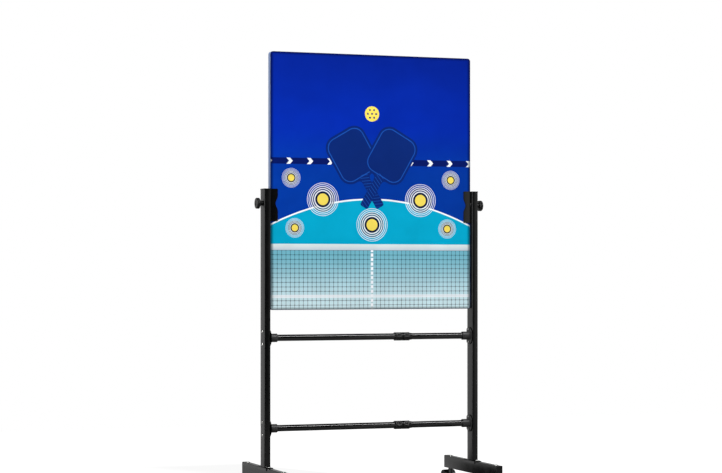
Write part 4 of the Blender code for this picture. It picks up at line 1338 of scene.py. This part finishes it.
@dataclass
class SideFrame:
    """One side of the stand: post, foot, saddle, caps, sockets and fasteners."""

    bench: Bench
    side: Side
    tube_corner: float = 0.0020
    tube_wall: float = 0.0015
    cap_edge: float = 0.0010
    cap_corner: float = 0.0026
    plug_inset: float = 0.0026
    plug_depth: float = 0.014
    saddle_metal: float = 0.0022
    saddle_bend: float = 0.0036
    lip_corner: float = 0.0030
    lip_flare: float = 0.07
    screw_from_post: float = 0.0135
    bolt_head: float = 0.0036
    flange_thick: float = 0.0032
    flange_radius: float = 0.0340
    plate_shift: float = 0.0022
    rear_inset: float = 0.0015
    # The thickness of the painted shade ring that the flange plate sits on.
    gasket_thick: float = 0.0023
    post_depth: float = 0.050

    def add(self, name: str, shell: Shell, finish: Finish, node: str | None = None,
            edge: float = 0.0) -> None:
        """One piece of this side, named after it."""
        label = self.side.label
        self.bench.add(f"{label}_{name}", shell, finish, f"{label}_frame", node and f"{label}_{node}", edge)

    def span(self, node: str) -> Span:
        """The box of one of this side's nodes."""
        return Span.of(f"{self.side.label}_{node}")

    def tube(self, node: str, along: int) -> None:
        """A post or a foot: a rounded rectangle carried round the wall of a straight tube.

        Args:
            node: the CAD node without its side.
            along: the axis that the tube runs along.
        """
        box = self.span(node)
        length, wall = box.size[along], self.tube_wall
        start = np.where(np.arange(3) == along, box.low, box.middle)
        stations = np.array([(0, 0), (length, 0), (length, wall), (0, wall)], float)
        shell = prism(box.size[0], box.size[3 - along], self.tube_corner, stations, ring=True)
        place = Place(start, height=UP if along == 2 else REARWARD)
        self.add(f"{node}_tube", shell.placed(place), POWDER, node, TUBE_BEVEL)

    def cap(self, node: str, tube: str, along: int, way: int) -> None:
        """A moulded cap: plug, step, plate and a rounded face, as one profile of insets.

        Args:
            node: the CAD node without its side.
            tube: the tube that it closes.
            along: the axis that the tube runs along.
            way: the end of the tube that it closes, 1 or -1.
        """
        box, closed = self.span(node), self.span(tube)
        face = closed.middle + way * closed.size / 2 * (np.arange(3) == along)
        top = abs(box.middle[along] + way * box.size[along] / 2 - face[along])
        plug, depth = self.plug_inset, -self.plug_depth
        corners = [(depth, plug + 0.003, 0), (depth, plug, 0.0008), (SEAT_GAP, plug, 0),
                   (SEAT_GAP, 0, 0.0003), (top, 0, self.cap_edge), (top, 0.0030, 0)]
        shell = prism(box.size[0], box.size[3 - along], self.cap_corner, rounded_path(corners))
        height = tuple(way * (np.arange(3) == along).astype(float))
        self.add(f"{node}_moulding", shell.placed(Place(face, height=height)), NYLON, node)

    def saddle(self) -> None:
        """The saddle: a channel laid over the foot, with round lip corners, and its two screws."""
        box = self.span("saddle")
        half = box.size[1] / 2
        along = half * spread(41)
        tips = box.size[2] - rounding(half - np.abs(along), self.lip_corner)
        shell = channel(box.size[0] / 2, self.saddle_metal, self.saddle_bend, along, tips, self.lip_flare)
        place = Place((box.middle[0], 0, box.high[2]), height=REARWARD)
        self.add("saddle_plate", shell.placed(place), POWDER, "saddle", SADDLE_BEVEL)
        screw = socket_screw(0.0052, 0.0030, 0.0025, 0.0040, 0.0032)
        for end in End:
            y = end.value * (self.span("post").high[1] + self.screw_from_post)
            seat = Place((box.middle[0], y, box.high[2]))
            self.add(f"saddle_{end.label}_screw", screw.placed(seat), BOLT)

    def socket_shells(self, length: float) -> tuple[Shell, Shell]:
        """A socket on a flat plate, and a near-black ring of painted shade under the plate, which shows as a
        dark crescent at the front.

        Args:
            length: from the post's face to the socket's mouth.

        Returns:
            The casting and the painted shade ring about their axis, both cut off beside the post's rear.
        """
        floor, bore, boss, rim, back = 0.0085, 0.0128, 0.0165, self.flange_radius, self.gasket_thick
        face, lip = self.flange_thick, rim - 0.0006
        boss_path = [(0, floor, 0), (bore, floor, 0.0006), (bore, length - 0.0010, 0),
                     (bore + 0.0010, length, 0.0003), (boss, length, 0.0014), (boss, back + 0.0002, 0),
                     (0, back + 0.0002, 0)]
        plate_path = [(0, face, 0), (lip, face, 0.0003), (lip, back, 0.0001), (0, back, 0)]
        # The ring under the plate is painted shade: a near-black sheet between the flange and the post.
        shade_ring_path = [(0, back, 0), (rim, back, 0.0002), (rim, 0, 0.0002), (0, 0, 0)]
        paths = (boss_path, plate_path, shade_ring_path)
        bosses, plate, painted_shade_ring = (turned(rounded_path(path, 4), 96) for path in paths)
        block = prism(2 * rim, 4 * rim, 0.0005, np.array([(-0.001, 0.0), (2 * length, 0.0)]))
        behind = block.placed(Place((self.post_depth / 2 - self.rear_inset + rim, 0.0, 0.0)))
        plate = plate.placed(Place((self.plate_shift, 0.0, 0.0)))
        return carved(bosses, joined=[plate], cut=[behind]), carved(painted_shade_ring, cut=[behind])

    def sockets(self) -> None:
        """Both sockets with their bolts and nuts."""
        near, far = self.span("upper_rail_socket").reach
        casting, painted_shade_ring = self.socket_shells(far - near)
        for level in Level:
            node = f"{level.label}_rail_socket"
            origin = (self.side.value * far, 0, self.span(node).middle[2])
            place = Place(origin, height=self.side.into, side=REARWARD)
            self.add(f"{node}_casting", casting.placed(place), SOCKET, node)
            # Painted shade: the near-black ring under the flange.
            self.add(f"{node}_gasket", painted_shade_ring.placed(place), PAINTED_SHADE_RING)
            for row in ("lower", "upper"):
                self.bolt(f"{level.label}_rail_{row}", far - self.flange_thick)

    def bolt(self, name: str, flange_x: float) -> None:
        """A domed bolt through the post, and the flanged nut on its inner end.

        Args:
            name: the bolt's place after the side.
            flange_x: the distance of the flange's face from the middle plane.
        """
        node, sign, head = f"{name}_bolt", self.side.value, self.bolt_head
        box = self.span(node)
        near, far = box.reach
        height = box.middle[2]
        screw = socket_screw(box.size[2] / 2, head, 0.0030, far - near - head, 0.0040)
        seat = Place((sign * (far - head), 0, height), height=self.side.out, side=REARWARD)
        self.add(f"{node}_domed", screw.placed(seat), BOLT, node)
        rest = Place((sign * flange_x, 0, height), height=self.side.into, side=REARWARD)
        self.add(f"{name}_nut", flange_nut(0.0080, 0.0052, 0.0031).placed(rest), STEEL)

    def build(self) -> None:
        """Builds every piece of this side but its casters."""
        self.tube("post", 2)
        self.tube("foot", 1)
        self.cap("post_cap", "post", 2, 1)
        for end in End:
            self.cap(f"foot_{end.label}_cap", "foot", 1, end.value)
        self.saddle()
        self.sockets()


@dataclass
class Rail:
    """A telescoping rail: outer tube, inner tube with its spigot, and the twist lock."""

    bench: Bench
    level: Level
    wall: float = 0.0012
    taper: float = 0.003
    spigot_radius: float = 0.0110
    ribs: int = 30
    rib_depth: float = 0.0007
    rib_steps: int = 8
    groove: float = 0.0045
    nose: float = 0.0137
    nut_bore: float = 0.0128
    nut_mouth: float = 0.0140
    sleeve_long: float = 0.0093

    def span(self, node: str) -> Span:
        """The box of one of this rail's nodes."""
        return Span.of(f"{self.level.label}_{node}")

    @property
    def height(self) -> float:
        """The rail's height above the floor."""
        return self.span("left_rail").middle[2]

    def lay(self, node: str, suffix: str, profile: np.ndarray, finish: Finish, body: str, steps: int = 72,
            outline: Outline | None = None) -> None:
        """A ring profile turned about the rail's axis, from the left end of its node.

        Args:
            node: the CAD node without its level.
            suffix: what the piece's name adds to the node's.
            profile: rows of radius and length.
            finish: what it is dressed in.
            body: the body that it rides on.
            steps: points round the axis.
            outline: the radius where it isn't round.
        """
        place = Place((self.span(node).low[0], 0, self.height), height=RIGHT, side=REARWARD)
        shell = turned(profile, steps, ring=True, outline=outline).placed(place)
        node = f"{self.level.label}_{node}"
        self.bench.add(f"{node}_{suffix}", shell, finish, body, node)

    def outer_tube(self) -> None:
        """The left tube, with its ends broken by small chamfers."""
        box = self.span("left_rail")
        radius, length, edge = box.size[1] / 2, box.size[0], 0.0003
        inner = radius - self.wall
        corners = [(radius, 0, edge), (radius, length, edge), (inner, length, edge), (inner, 0, edge)]
        self.lay("left_rail", "tube", rounded_path(corners, 3, closed=True), RAIL_COAT, "left_frame")

    def inner_tube(self) -> None:
        """The right tube, necked down to the spigot that slides in the left one."""
        box = self.span("right_rail")
        radius, length, spigot, edge = box.size[1] / 2, box.size[0], self.spigot_radius, 0.0003
        neck = length - (box.high[0] - self.shoulder())
        inner, slim, wide = radius - self.wall, spigot - self.wall, neck + self.taper
        corners = [(radius, length, edge), (radius, wide, 0.004), (spigot, neck, 0.004), (spigot, 0, edge),
                   (slim, 0, edge), (slim, neck, 0.003), (inner, wide, 0.003), (inner, length, edge)]
        self.lay("right_rail", "tube", rounded_path(corners, 4, closed=True), RAIL_COAT, "right_frame")

    def shoulder(self) -> float:
        """Where the right tube's full width starts: the least X of its widest points."""
        mesh = frame["nodes"][f"{self.level.label}_right_rail"].data
        points = np.empty(len(mesh.vertices) * 3, np.float32)
        mesh.vertices.foreach_get("co", points)
        points = points.reshape(-1, 3)
        away = np.hypot(points[:, 1], points[:, 2] - self.height)
        return float(points[away > away.max() - 0.0004, 0].min()) - self.taper

    def ribbed(self, node: str, body: str, first: Corners, last: Corners, low: float, high: float) -> None:
        """A moulding with grip ribs: between them, the radius dips by a power of a sine.

        Args:
            node: the CAD node without its level.
            body: the body that it rides on.
            first: the profile before the ribs.
            last: the profile after them.
            low: where the ribs start.
            high: where they end.
        """

        def outline(radii: np.ndarray, heights: np.ndarray, angles: np.ndarray) -> np.ndarray:
            """The radius with the dips, faded in at both ends.

            Args:
                radii: the profile's radii.
                heights: its heights.
                angles: the angles round it.

            Returns:
                The radii.
            """
            fade = np.clip((heights - low) / 0.0012, 0, 1) * np.clip((high - heights) / 0.0012, 0, 1)
            dip = (0.5 - 0.5 * np.cos(self.ribs * angles)) ** 1.6
            return np.where(radii > 0.0155, radii - self.rib_depth * dip * fade, radii)

        radius = self.span(node).size[1] / 2 - 0.0002
        grip = np.column_stack([np.full(RIB_ROWS, radius), np.linspace(low, high, RIB_ROWS)])
        profile = np.vstack([rounded_path(first, 3), grip, rounded_path(last, 3)])
        self.lay(node, "moulding", profile, NYLON, body, self.ribs * self.rib_steps, outline)

    def collar(self) -> None:
        """The fixed half of the lock: rims, ribs, a step and the nose inside the nut."""
        box, tube = self.span("lock_collar"), self.span("left_rail")
        outer, length, nose, throat = box.size[1] / 2, box.size[0], self.nose, self.spigot_radius + SEAT_GAP
        bore, seat = tube.size[1] / 2 + SEAT_GAP, tube.high[0] - box.low[0] + SEAT_GAP
        face = self.span("lock_nut").low[0] - box.low[0] - self.groove
        first = [(throat, seat, 0), (bore, seat, 0), (bore, 0, 0), (outer - 0.0012, 0, 0.0004),
                 (outer, 0.0012, 0.0005), (outer, 0.0040, 0.0003), (outer - 0.0006, 0.0044, 0)]
        last = [(outer - 0.0006, face - 0.0038, 0), (outer, face - 0.0034, 0.0003), (outer, face, 0.0005),
                (nose, face, 0.0004), (nose, length, 0.0004), (throat, length, 0)]
        self.ribbed("lock_collar", "left_frame", first, last, 0.0050, face - 0.0042)

    def nut(self) -> None:
        """The turning half of the lock: rims, ribs and the sleeve round the inner tube."""
        box = self.span("lock_nut")
        outer, length, bore, mouth = box.size[1] / 2, box.size[0], self.nut_bore, self.nut_mouth
        body, sleeve = length - self.sleeve_long, bore + 0.0008
        step = self.span("lock_collar").high[0] - box.low[0] + SEAT_GAP
        first = [(bore, step, 0), (mouth, step, 0), (mouth, 0, 0.0002), (outer, 0, 0.0005),
                 (outer, 0.0036, 0.0003), (outer - 0.0006, 0.0040, 0)]
        last = [(outer - 0.0006, body - 0.0040, 0), (outer, body - 0.0036, 0.0003),
                (outer, body - 0.0012, 0.0005), (outer - 0.0012, body, 0.0004), (sleeve, body, 0.0004),
                (sleeve, length, 0.0003), (bore, length, 0)]
        self.ribbed("lock_nut", f"{self.level.label}_lock_nut", first, last, 0.0048, body - 0.0048)

    def build(self) -> None:
        """Builds the rail's four pieces."""
        self.outer_tube()
        self.inner_tube()
        self.collar()
        self.nut()


@dataclass(frozen=True)
class Hood:
    """A caster's hood about its axle: fender, web, rib, stem housing, axle and pedal ears."""

    half_width: float
    trail: float
    top: float
    pedal: tuple[float, float]
    bottom: float = -0.008
    offset: float = 0.0074
    wheel_radius: float = 0.025
    clearance: float = 0.0012
    metal: float = 0.0022
    start: float = math.radians(12)
    finish: float = math.radians(152)
    web_radius: float = 0.018
    housing_radius: float = 0.0105
    axle_radius: float = 0.003
    stem_radius: float = 0.0043
    stem_depth: float = 0.0263
    pin_radius: float = 0.0015
    wheel_room: float = 0.012
    pedal_width: float = 0.0186
    ear_width: float = 0.0030
    ear_radius: float = 0.0040
    arc_steps: int = 49
    width_steps: int = 25

    @property
    def under(self) -> float:
        """The fender's inner radius."""
        return self.wheel_radius + self.clearance

    def across(self, radius: float, half_length: float, x: float = 0.0, y: float = 0.0, z: float = 0.0,
               edge: float = 0.0) -> Shell:
        """A round bar along the axle's direction.

        Args:
            radius: its radius.
            half_length: half its length.
            x: its middle along the axle.
            y: its middle to the rear.
            z: its middle's height.
            edge: the radius of its rims.

        Returns:
            The closed surface.
        """
        corners = [(0, -half_length, 0), (radius, -half_length, edge), (radius, half_length, edge),
                   (0, half_length, 0)]
        return turned(rounded_path(corners, 3)).placed(Place((x, y, z), height=RIGHT, side=REARWARD))

    def fender(self) -> Shell:
        """The fender: an arc about the axle, thick at the middle and rolled thin at both sides.

        A point is (x, R cos a, R sin a). The outer R is the inner one plus the metal, less a drop
        with the eighth power of x over the half width.
        """
        share = spread(self.width_steps)
        angle = np.linspace(self.start, self.finish, self.arc_steps)
        thick = np.concatenate([self.metal * (1 - 0.45 * share**8), np.zeros(self.width_steps)])
        near_end = np.minimum(angle - self.start, self.finish - angle) * self.under / self.metal
        fade = np.sqrt(np.clip(1 - np.clip(1 - near_end, 0, 1) ** 2, 0.12, 1))
        radii = self.under + thick[None, :] * fade[:, None]
        loop = np.concatenate([share, share[::-1]])[None, :] * self.half_width
        parts = loop, radii * np.cos(angle)[:, None], radii * np.sin(angle)[:, None]
        grid = np.stack(np.broadcast_arrays(*parts), axis=-1)
        ends = [(grid[row] + grid[row][::-1])[None] / 2 for row in (0, -1)]
        return Shell.of_grid(np.concatenate([ends[0], grid, ends[1]]))

    def shell(self, braked: bool) -> Shell:
        """The whole hood as one surface.

        Args:
            braked: adds the ears, the notch and the pin's hole of a brake pedal.

        Returns:
            The closed surface.
        """
        stem = Place((0, self.trail, 0))
        rib_high = self.under + self.metal * 0.6
        rib = prism(2 * self.offset, self.trail + 0.006, 0.0015, plate_stations(rib_high, 0.0008))
        corners = [(0, self.bottom, 0), (self.housing_radius - 0.0015, self.bottom, 0.0010),
                   (self.housing_radius, self.bottom + 0.012, 0.004), (self.housing_radius, self.top, 0.0010),
                   (0, self.top, 0)]
        joined = [self.across(self.web_radius, self.offset, edge=0.0008),
                  rib.placed(Place((0, (self.trail - 0.006) / 2, 0))),
                  turned(rounded_path(corners, 4)).placed(stem)]
        room, tread = self.wheel_room, self.wheel_radius + self.clearance / 2
        cut = [self.across(tread, room, sign * (self.offset + room)) for sign in (-1, 1)]
        low, high = self.top - self.stem_depth, self.top + 0.01
        hole = np.array([(0, low), (self.stem_radius, low), (self.stem_radius, high), (0, high)])
        cut.append(turned(hole, 48).placed(stem))
        if braked:
            y, z = self.pedal
            ear_x = (self.pedal_width + self.ear_width) / 2
            joined += [self.across(self.ear_radius, self.ear_width / 2, sign * ear_x, y, z, 0.0006)
                       for sign in (-1, 1)]
            notch = prism(self.pedal_width, 0.0056, 0.0004, np.array([(-0.008, 0.0), (0.008, 0.0)]))
            cut.append(notch.placed(Place((0, y, z))))
            cut.append(self.across(self.pin_radius, self.pedal_width / 2 + self.pin_radius, 0, y, z))
        hollow = carved(self.fender(), joined, cut)
        return carved(hollow, joined=[self.across(self.axle_radius, self.half_width, edge=0.0006)])

    def pedal_shell(self) -> Shell:
        """A brake pedal about its pin: barrel, pins and a ribbed tread that rises backwards."""
        rise = math.radians(24)
        slope = Place((0, 0, 0), height=(0.0, math.sin(rise), math.cos(rise)))
        tread = prism(0.018, 0.021, 0.0032, plate_stations(0.0026, 0.0007), steps=6)
        rib = prism(0.0136, 0.0013, 0.0006, plate_stations(0.0012, 0.0004), steps=4)
        parts = [self.across(0.0012, self.pedal_width / 2 + 0.0012),
                 tread.placed(Place((0, -0.0105, -0.0013)), slope)]
        parts += [rib.placed(Place((0, -0.0078 - 0.0032 * row, 0.0006)), slope) for row in range(4)]
        return carved(self.across(0.0025, 0.009, edge=0.0003), joined=parts)


@dataclass
class Casters:
    """The four twin-wheel swivel casters, two of them with a brake pedal."""

    bench: Bench
    braked: tuple[tuple[Side, End], ...] = ((Side.LEFT, End.FRONT), (Side.RIGHT, End.REAR))
    recess: float = 0.0170
    tyre_edge: float = 0.0024
    wheel_bore: float = 0.0033
    wheel_hub: float = 0.0066
    spokes: int = 6
    spoke_height: float = 0.0022
    shank: float = 0.005
    pin: float = 0.004
    collar: float = 0.0085

    def wheel_shells(self, radius: float, width: float) -> tuple[Shell, Shell]:
        """A wheel's tyre and disc about the axle, from the inner face at height 0.

        The disc's outer face is lifted along its spokes: by a power of the cosine of the angle
        from a spoke, faded out towards the hub and the rim.

        Args:
            radius: the tread's radius.
            width: the wheel's width.

        Returns:
            The tyre and the disc.
        """
        inner, edge, bore, hub = self.recess, self.tyre_edge, self.wheel_bore, self.wheel_hub
        crown, face = radius - 0.0003, width - 0.0030
        corners = [(inner, 0, 0.0003), (crown, 0, edge), (radius, width / 2, 0.02), (crown, width, edge),
                   (inner + 0.0022, width, 0.0006), (inner, width - 0.0020, 0.0004)]
        tyre = rounded_path(corners, 6, closed=True)
        corners = [(bore, 0, 0), (bore, face + 0.0016, 0.0003), (hub - 0.0004, face + 0.0016, 0.0005)]
        rows = np.linspace(hub + 0.0006, inner - 0.0006, RIB_ROWS)
        disc = np.vstack([rounded_path(corners, 3), np.column_stack([rows, np.full(RIB_ROWS, face)]),
                          [(inner - 0.0001, face), (inner - 0.0001, 0)]])
        shell = turned(disc, 144, ring=True)
        across, along, lift = shell.points.T
        away, angle = np.hypot(across, along), np.arctan2(along, across)
        fade = np.clip((away - hub) / 0.002, 0, 1) * np.clip((inner - 0.0004 - away) / 0.002, 0, 1)
        spoke = np.clip(np.cos(self.spokes * angle), 0, 1) ** 0.6
        sunk = np.where(np.abs(lift - face) < 1e-6, -self.spoke_height * fade * (1 - spoke), 0.0)
        return turned(tyre, 128, ring=True), Shell(np.column_stack([across, along, lift + sunk]), shell.faces)

    def stem_shells(self, box: Span, foot: Span, housing_top: float) -> tuple[Shell, Shell]:
        """A stem with its hexagon collar, and the nut on the foot, about the stem's axis.

        Args:
            box: the stem's CAD box.
            foot: the foot's CAD box.
            housing_top: the height of the hood's housing.

        Returns:
            The stem and the nut, at their heights.
        """
        low, high, shank, pin, collar = box.low[2], box.high[2], self.shank, self.pin, self.collar
        base, top = housing_top + SEAT_GAP, foot.low[2] - SEAT_GAP
        corners = [(0, low, 0), (pin, low, 0.0006), (pin, base, 0), (collar, base, 0.0004),
                   (collar, top, 0.0004), (shank, top, 0), (shank, high - 0.0009, 0),
                   (shank - 0.0009, high, 0), (0, high, 0)]

        def wrench_flats(radii: np.ndarray, heights: np.ndarray, angles: np.ndarray) -> np.ndarray:
            """A hexagon with blunt corners where the collar is."""
            return np.where(radii > 0.006, np.minimum(radii, hexagon(angles, 2 * collar * 0.90)), radii)

        nut = flange_nut(0.0134, 0.0084, shank + 0.0001).placed(Place((0, 0, foot.high[2])))
        return turned(rounded_path(corners, 3), 96, outline=wrench_flats), nut

    def caster(self, side: Side, end: End, hood: Hood, hoods: Sequence[Shell], wheel: Sequence[Shell],
               pedal: Shell) -> None:
        """One caster, from surfaces about its axle.

        Args:
            side: the side of the stand.
            end: the end of the foot.
            hood: the hood's sizes.
            hoods: the plain and the braked hood.
            wheel: the tyre and the disc.
            pedal: the pedal.
        """
        add, prefix, frame_body = self.bench.add, f"{side.label}_{end.label}", f"{side.label}_frame"
        outer, stem_box = Span.of(f"{prefix}_outer_wheel"), Span.of(f"{prefix}_caster_stem")
        axle = (stem_box.middle[0], outer.middle[1], outer.high[2] / 2)
        stand = Place(axle, side=(-float(end.value), 0.0, 0.0))
        braked = (side, end) in self.braked
        node = f"{prefix}_caster_hood"
        add(f"{node}_moulding", hoods[braked].placed(stand), NYLON, f"{prefix}_caster", node)
        stem, nut = self.stem_shells(stem_box, Span.of(f"{side.label}_foot"), axle[2] + hood.top)
        upright = Place((stem_box.middle[0], stem_box.middle[1], 0))
        node = f"{prefix}_caster_stem"
        add(f"{node}_turned", stem.placed(upright), STEEL, frame_body, node)
        add(f"{prefix}_stem_nut", nut.placed(upright), BOLT, frame_body)
        for node, way in ((f"{prefix}_outer_wheel", side.out), (f"{prefix}_inner_wheel", side.into)):
            box = Span.of(node)
            start = Place((box.low[0] if way[0] > 0 else box.high[0], *axle[1:]), height=way, side=REARWARD)
            add(f"{node}_tyre", wheel[0].placed(start), TYRE, node, node)
            add(f"{node}_disc", wheel[1].placed(start), NYLON, node)
        if braked:
            node = f"{prefix}_brake_pedal"
            hung = pedal.placed(Place((0, *hood.pedal)), stand)
            add(f"{node}_moulding", hung, NYLON, f"{prefix}_brake", node)

    def build(self) -> None:
        """Builds the surfaces once and stands them at the four places."""
        wheel, stem = Span.of("left_front_outer_wheel"), Span.of("left_front_caster_stem")
        hood_box = Span.of("left_front_caster_hood")
        axle_z = wheel.high[2] / 2
        pivot = next(j for j in frame["joints"] if j["name"] == "left_front_brake_press")["pos_m"]
        hood = Hood(hood_box.size[0] / 2, stem.middle[1] - wheel.middle[1], hood_box.high[2] - axle_z,
                    (pivot[1] - wheel.middle[1], pivot[2] - axle_z))
        hoods = [hood.shell(braked) for braked in (False, True)]
        wheels, pedal = self.wheel_shells(axle_z, wheel.size[0]), hood.pedal_shell()
        for side in Side:
            for end in End:
                self.caster(side, end, hood, hoods, wheels, pedal)


@dataclass(frozen=True)
class Lamp:
    """A soft lamp that faces the panel: its direction from there, distance, two sizes and radiance."""

    name: str
    direction: Point
    distance: float
    size: tuple[float, float]
    radiance: float
    target: Point = (0.0, 0.0, 1.0)

    def hang(self) -> None:
        """Makes the lamp: its power is its radiance times its area and pi."""
        data = bpy.data.lights.new(self.name, "AREA")
        data.shape = "RECTANGLE"
        data.size, data.size_y = self.size
        data.energy = self.radiance * math.pi * self.size[0] * self.size[1]
        lamp = bpy.data.objects.new(self.name, data)
        way = Vector(self.direction).normalized()
        lamp.location = Vector(self.target) + way * self.distance
        lamp.rotation_euler = way.to_track_quat("Z", "Y").to_euler()
        bpy.context.scene.collection.objects.link(lamp)


@dataclass(frozen=True)
class Studio:
    """The pale floor, the white surround, the lamps and the camera."""

    floor_size: float = 7.0
    camera_place: Point = (-2.8902, -7.6392, 0.8696)
    camera_turn: float = math.radians(-20.45)
    sensor: float = 36.0
    lens: float = 103.48
    shift: float = 0.0481
    floor_front: float = 0.31
    # Painted shade: the floor's colour behind the stand, darker where the panel's shadow would fall.
    floor_back: float = 0.05
    floor_share: float = 0.62
    floor_glow: float = 1.52
    floor_slant: float = 2.31
    dim_light: float = 0.015
    lamps: tuple[Lamp, ...] = (
        Lamp("strip", (0.24, -0.60, 0.76), 4.5, (5.2, 0.45), 23.0),
        Lamp("key", (-0.22, -0.41, 0.89), 4.5, (1.6, 1.4), 13.0),
    )

    def floor(self) -> None:
        """The floor: a sheet that shows white to the camera where the light falls, and keeps the shadow. To
        other rays it shows painted shade, a darker colour behind the stand, and painted light, a glow in
        slanted bands and far behind.
        """
        steps = np.linspace(-self.floor_size / 2, self.floor_size / 2, 3)
        grid = np.stack([*np.meshgrid(steps, steps, indexing="ij"), np.zeros((3, 3))], axis=-1)
        floor = linked("floor", Shell.of_grid(grid, wrap_columns=False))
        material, graph, shader = new_material("floor_white")
        across, along, _ = graph.split(graph.where())
        # Painted light: the floor glows in slanted bands and far behind the stand.
        slant = along + across * self.floor_slant
        painted_light_bands = slant.ramp(-0.45, 0.30, 0.34, 0.0, smooth=True) + slant.ramp(1.02, 1.22, 0.0, 0.60)
        painted_floor_light = (painted_light_bands * along.ramp(0.0, 0.2)).most(along.ramp(1.28, 1.50, 0.0, 0.46))
        # Painted shade: the base colour falls towards the back, where the panel's shadow would lie.
        graph.fill(shader, {"Roughness": 0.9, "Specular IOR Level": 0.0, "Emission Color": WHITE,
                            "Base Color": along.ramp(-0.4, 0.4, self.floor_front, self.floor_back),
                            "Emission Strength": painted_floor_light})
        seen = graph.wire("LightPath", output="Is Camera Ray")
        shown = graph.wire("Emission", WHITE, self.floor_glow)
        blend = graph.wire("MixShader", seen * self.floor_share, Wire(graph, shader.outputs[0]), shown)
        graph.fill(material.node_tree.nodes["Material Output"], {"Surface": blend})
        floor.data.materials.append(material)

    def surround(self) -> None:
        """The world: white to the camera, pale behind the stand, dark in front between two pale walls."""
        world = bpy.data.worlds.new("studio")
        bpy.context.scene.world = world
        world.use_nodes = True
        graph = Graph(world.node_tree)
        across, along, up = graph.split(graph.where("Generated"))
        behind = along.ramp(-0.05, 0.50, 0.0, 0.44, smooth=True)
        right = across.ramp(0.36, 0.44, 0.0, 0.70, smooth=True)
        right = right * along.ramp(-0.30, 0.0, 1.0, 0.0, smooth=True)
        left = across.ramp(-0.55, -0.30, 3.4, 0.0, smooth=True)
        left = left * along.ramp(-0.30, -0.05, 1.0, 0.0, smooth=True)
        walls = (behind + right + left) * up.ramp(0.10, 0.30, 1.0, 0.03, smooth=True)
        level = (walls + self.dim_light).most(graph.wire("LightPath", output="Is Camera Ray"))
        graph.fill(world.node_tree.nodes["Background"], {"Color": WHITE, "Strength": level})

    def camera(self) -> None:
        """A level camera in front of the stand and to its left."""
        data = bpy.data.cameras.new("camera")
        data.sensor_width, data.lens, data.shift_y = self.sensor, self.lens, self.shift
        camera = bpy.data.objects.new("camera", data)
        camera.location = self.camera_place
        camera.rotation_euler = (math.pi / 2, 0.0, self.camera_turn)
        bpy.context.scene.collection.objects.link(camera)
        bpy.context.scene.camera = camera

    def build(self) -> None:
        """Sets the whole stage."""
        bpy.context.scene.view_settings.view_transform = "Standard"
        self.floor()
        self.surround()
        for lamp in self.lamps:
            lamp.hang()
        self.camera()


def main() -> None:
    """Builds the sub-assemblies in order, then the stage."""
    logging.basicConfig(level=logging.INFO, format="%(name)s: %(message)s")
    bench = Bench(Effects.build())
    Panel(bench).build()
    for side in Side:
        TiltJoint(bench, side).build()
        SideFrame(bench, side).build()
    for level in Level:
        Rail(bench, level).build()
    Casters(bench).build()
    Studio().build()
    LOG.info("%d pieces made", bench.made)


if __name__ == "__main__":
    main()
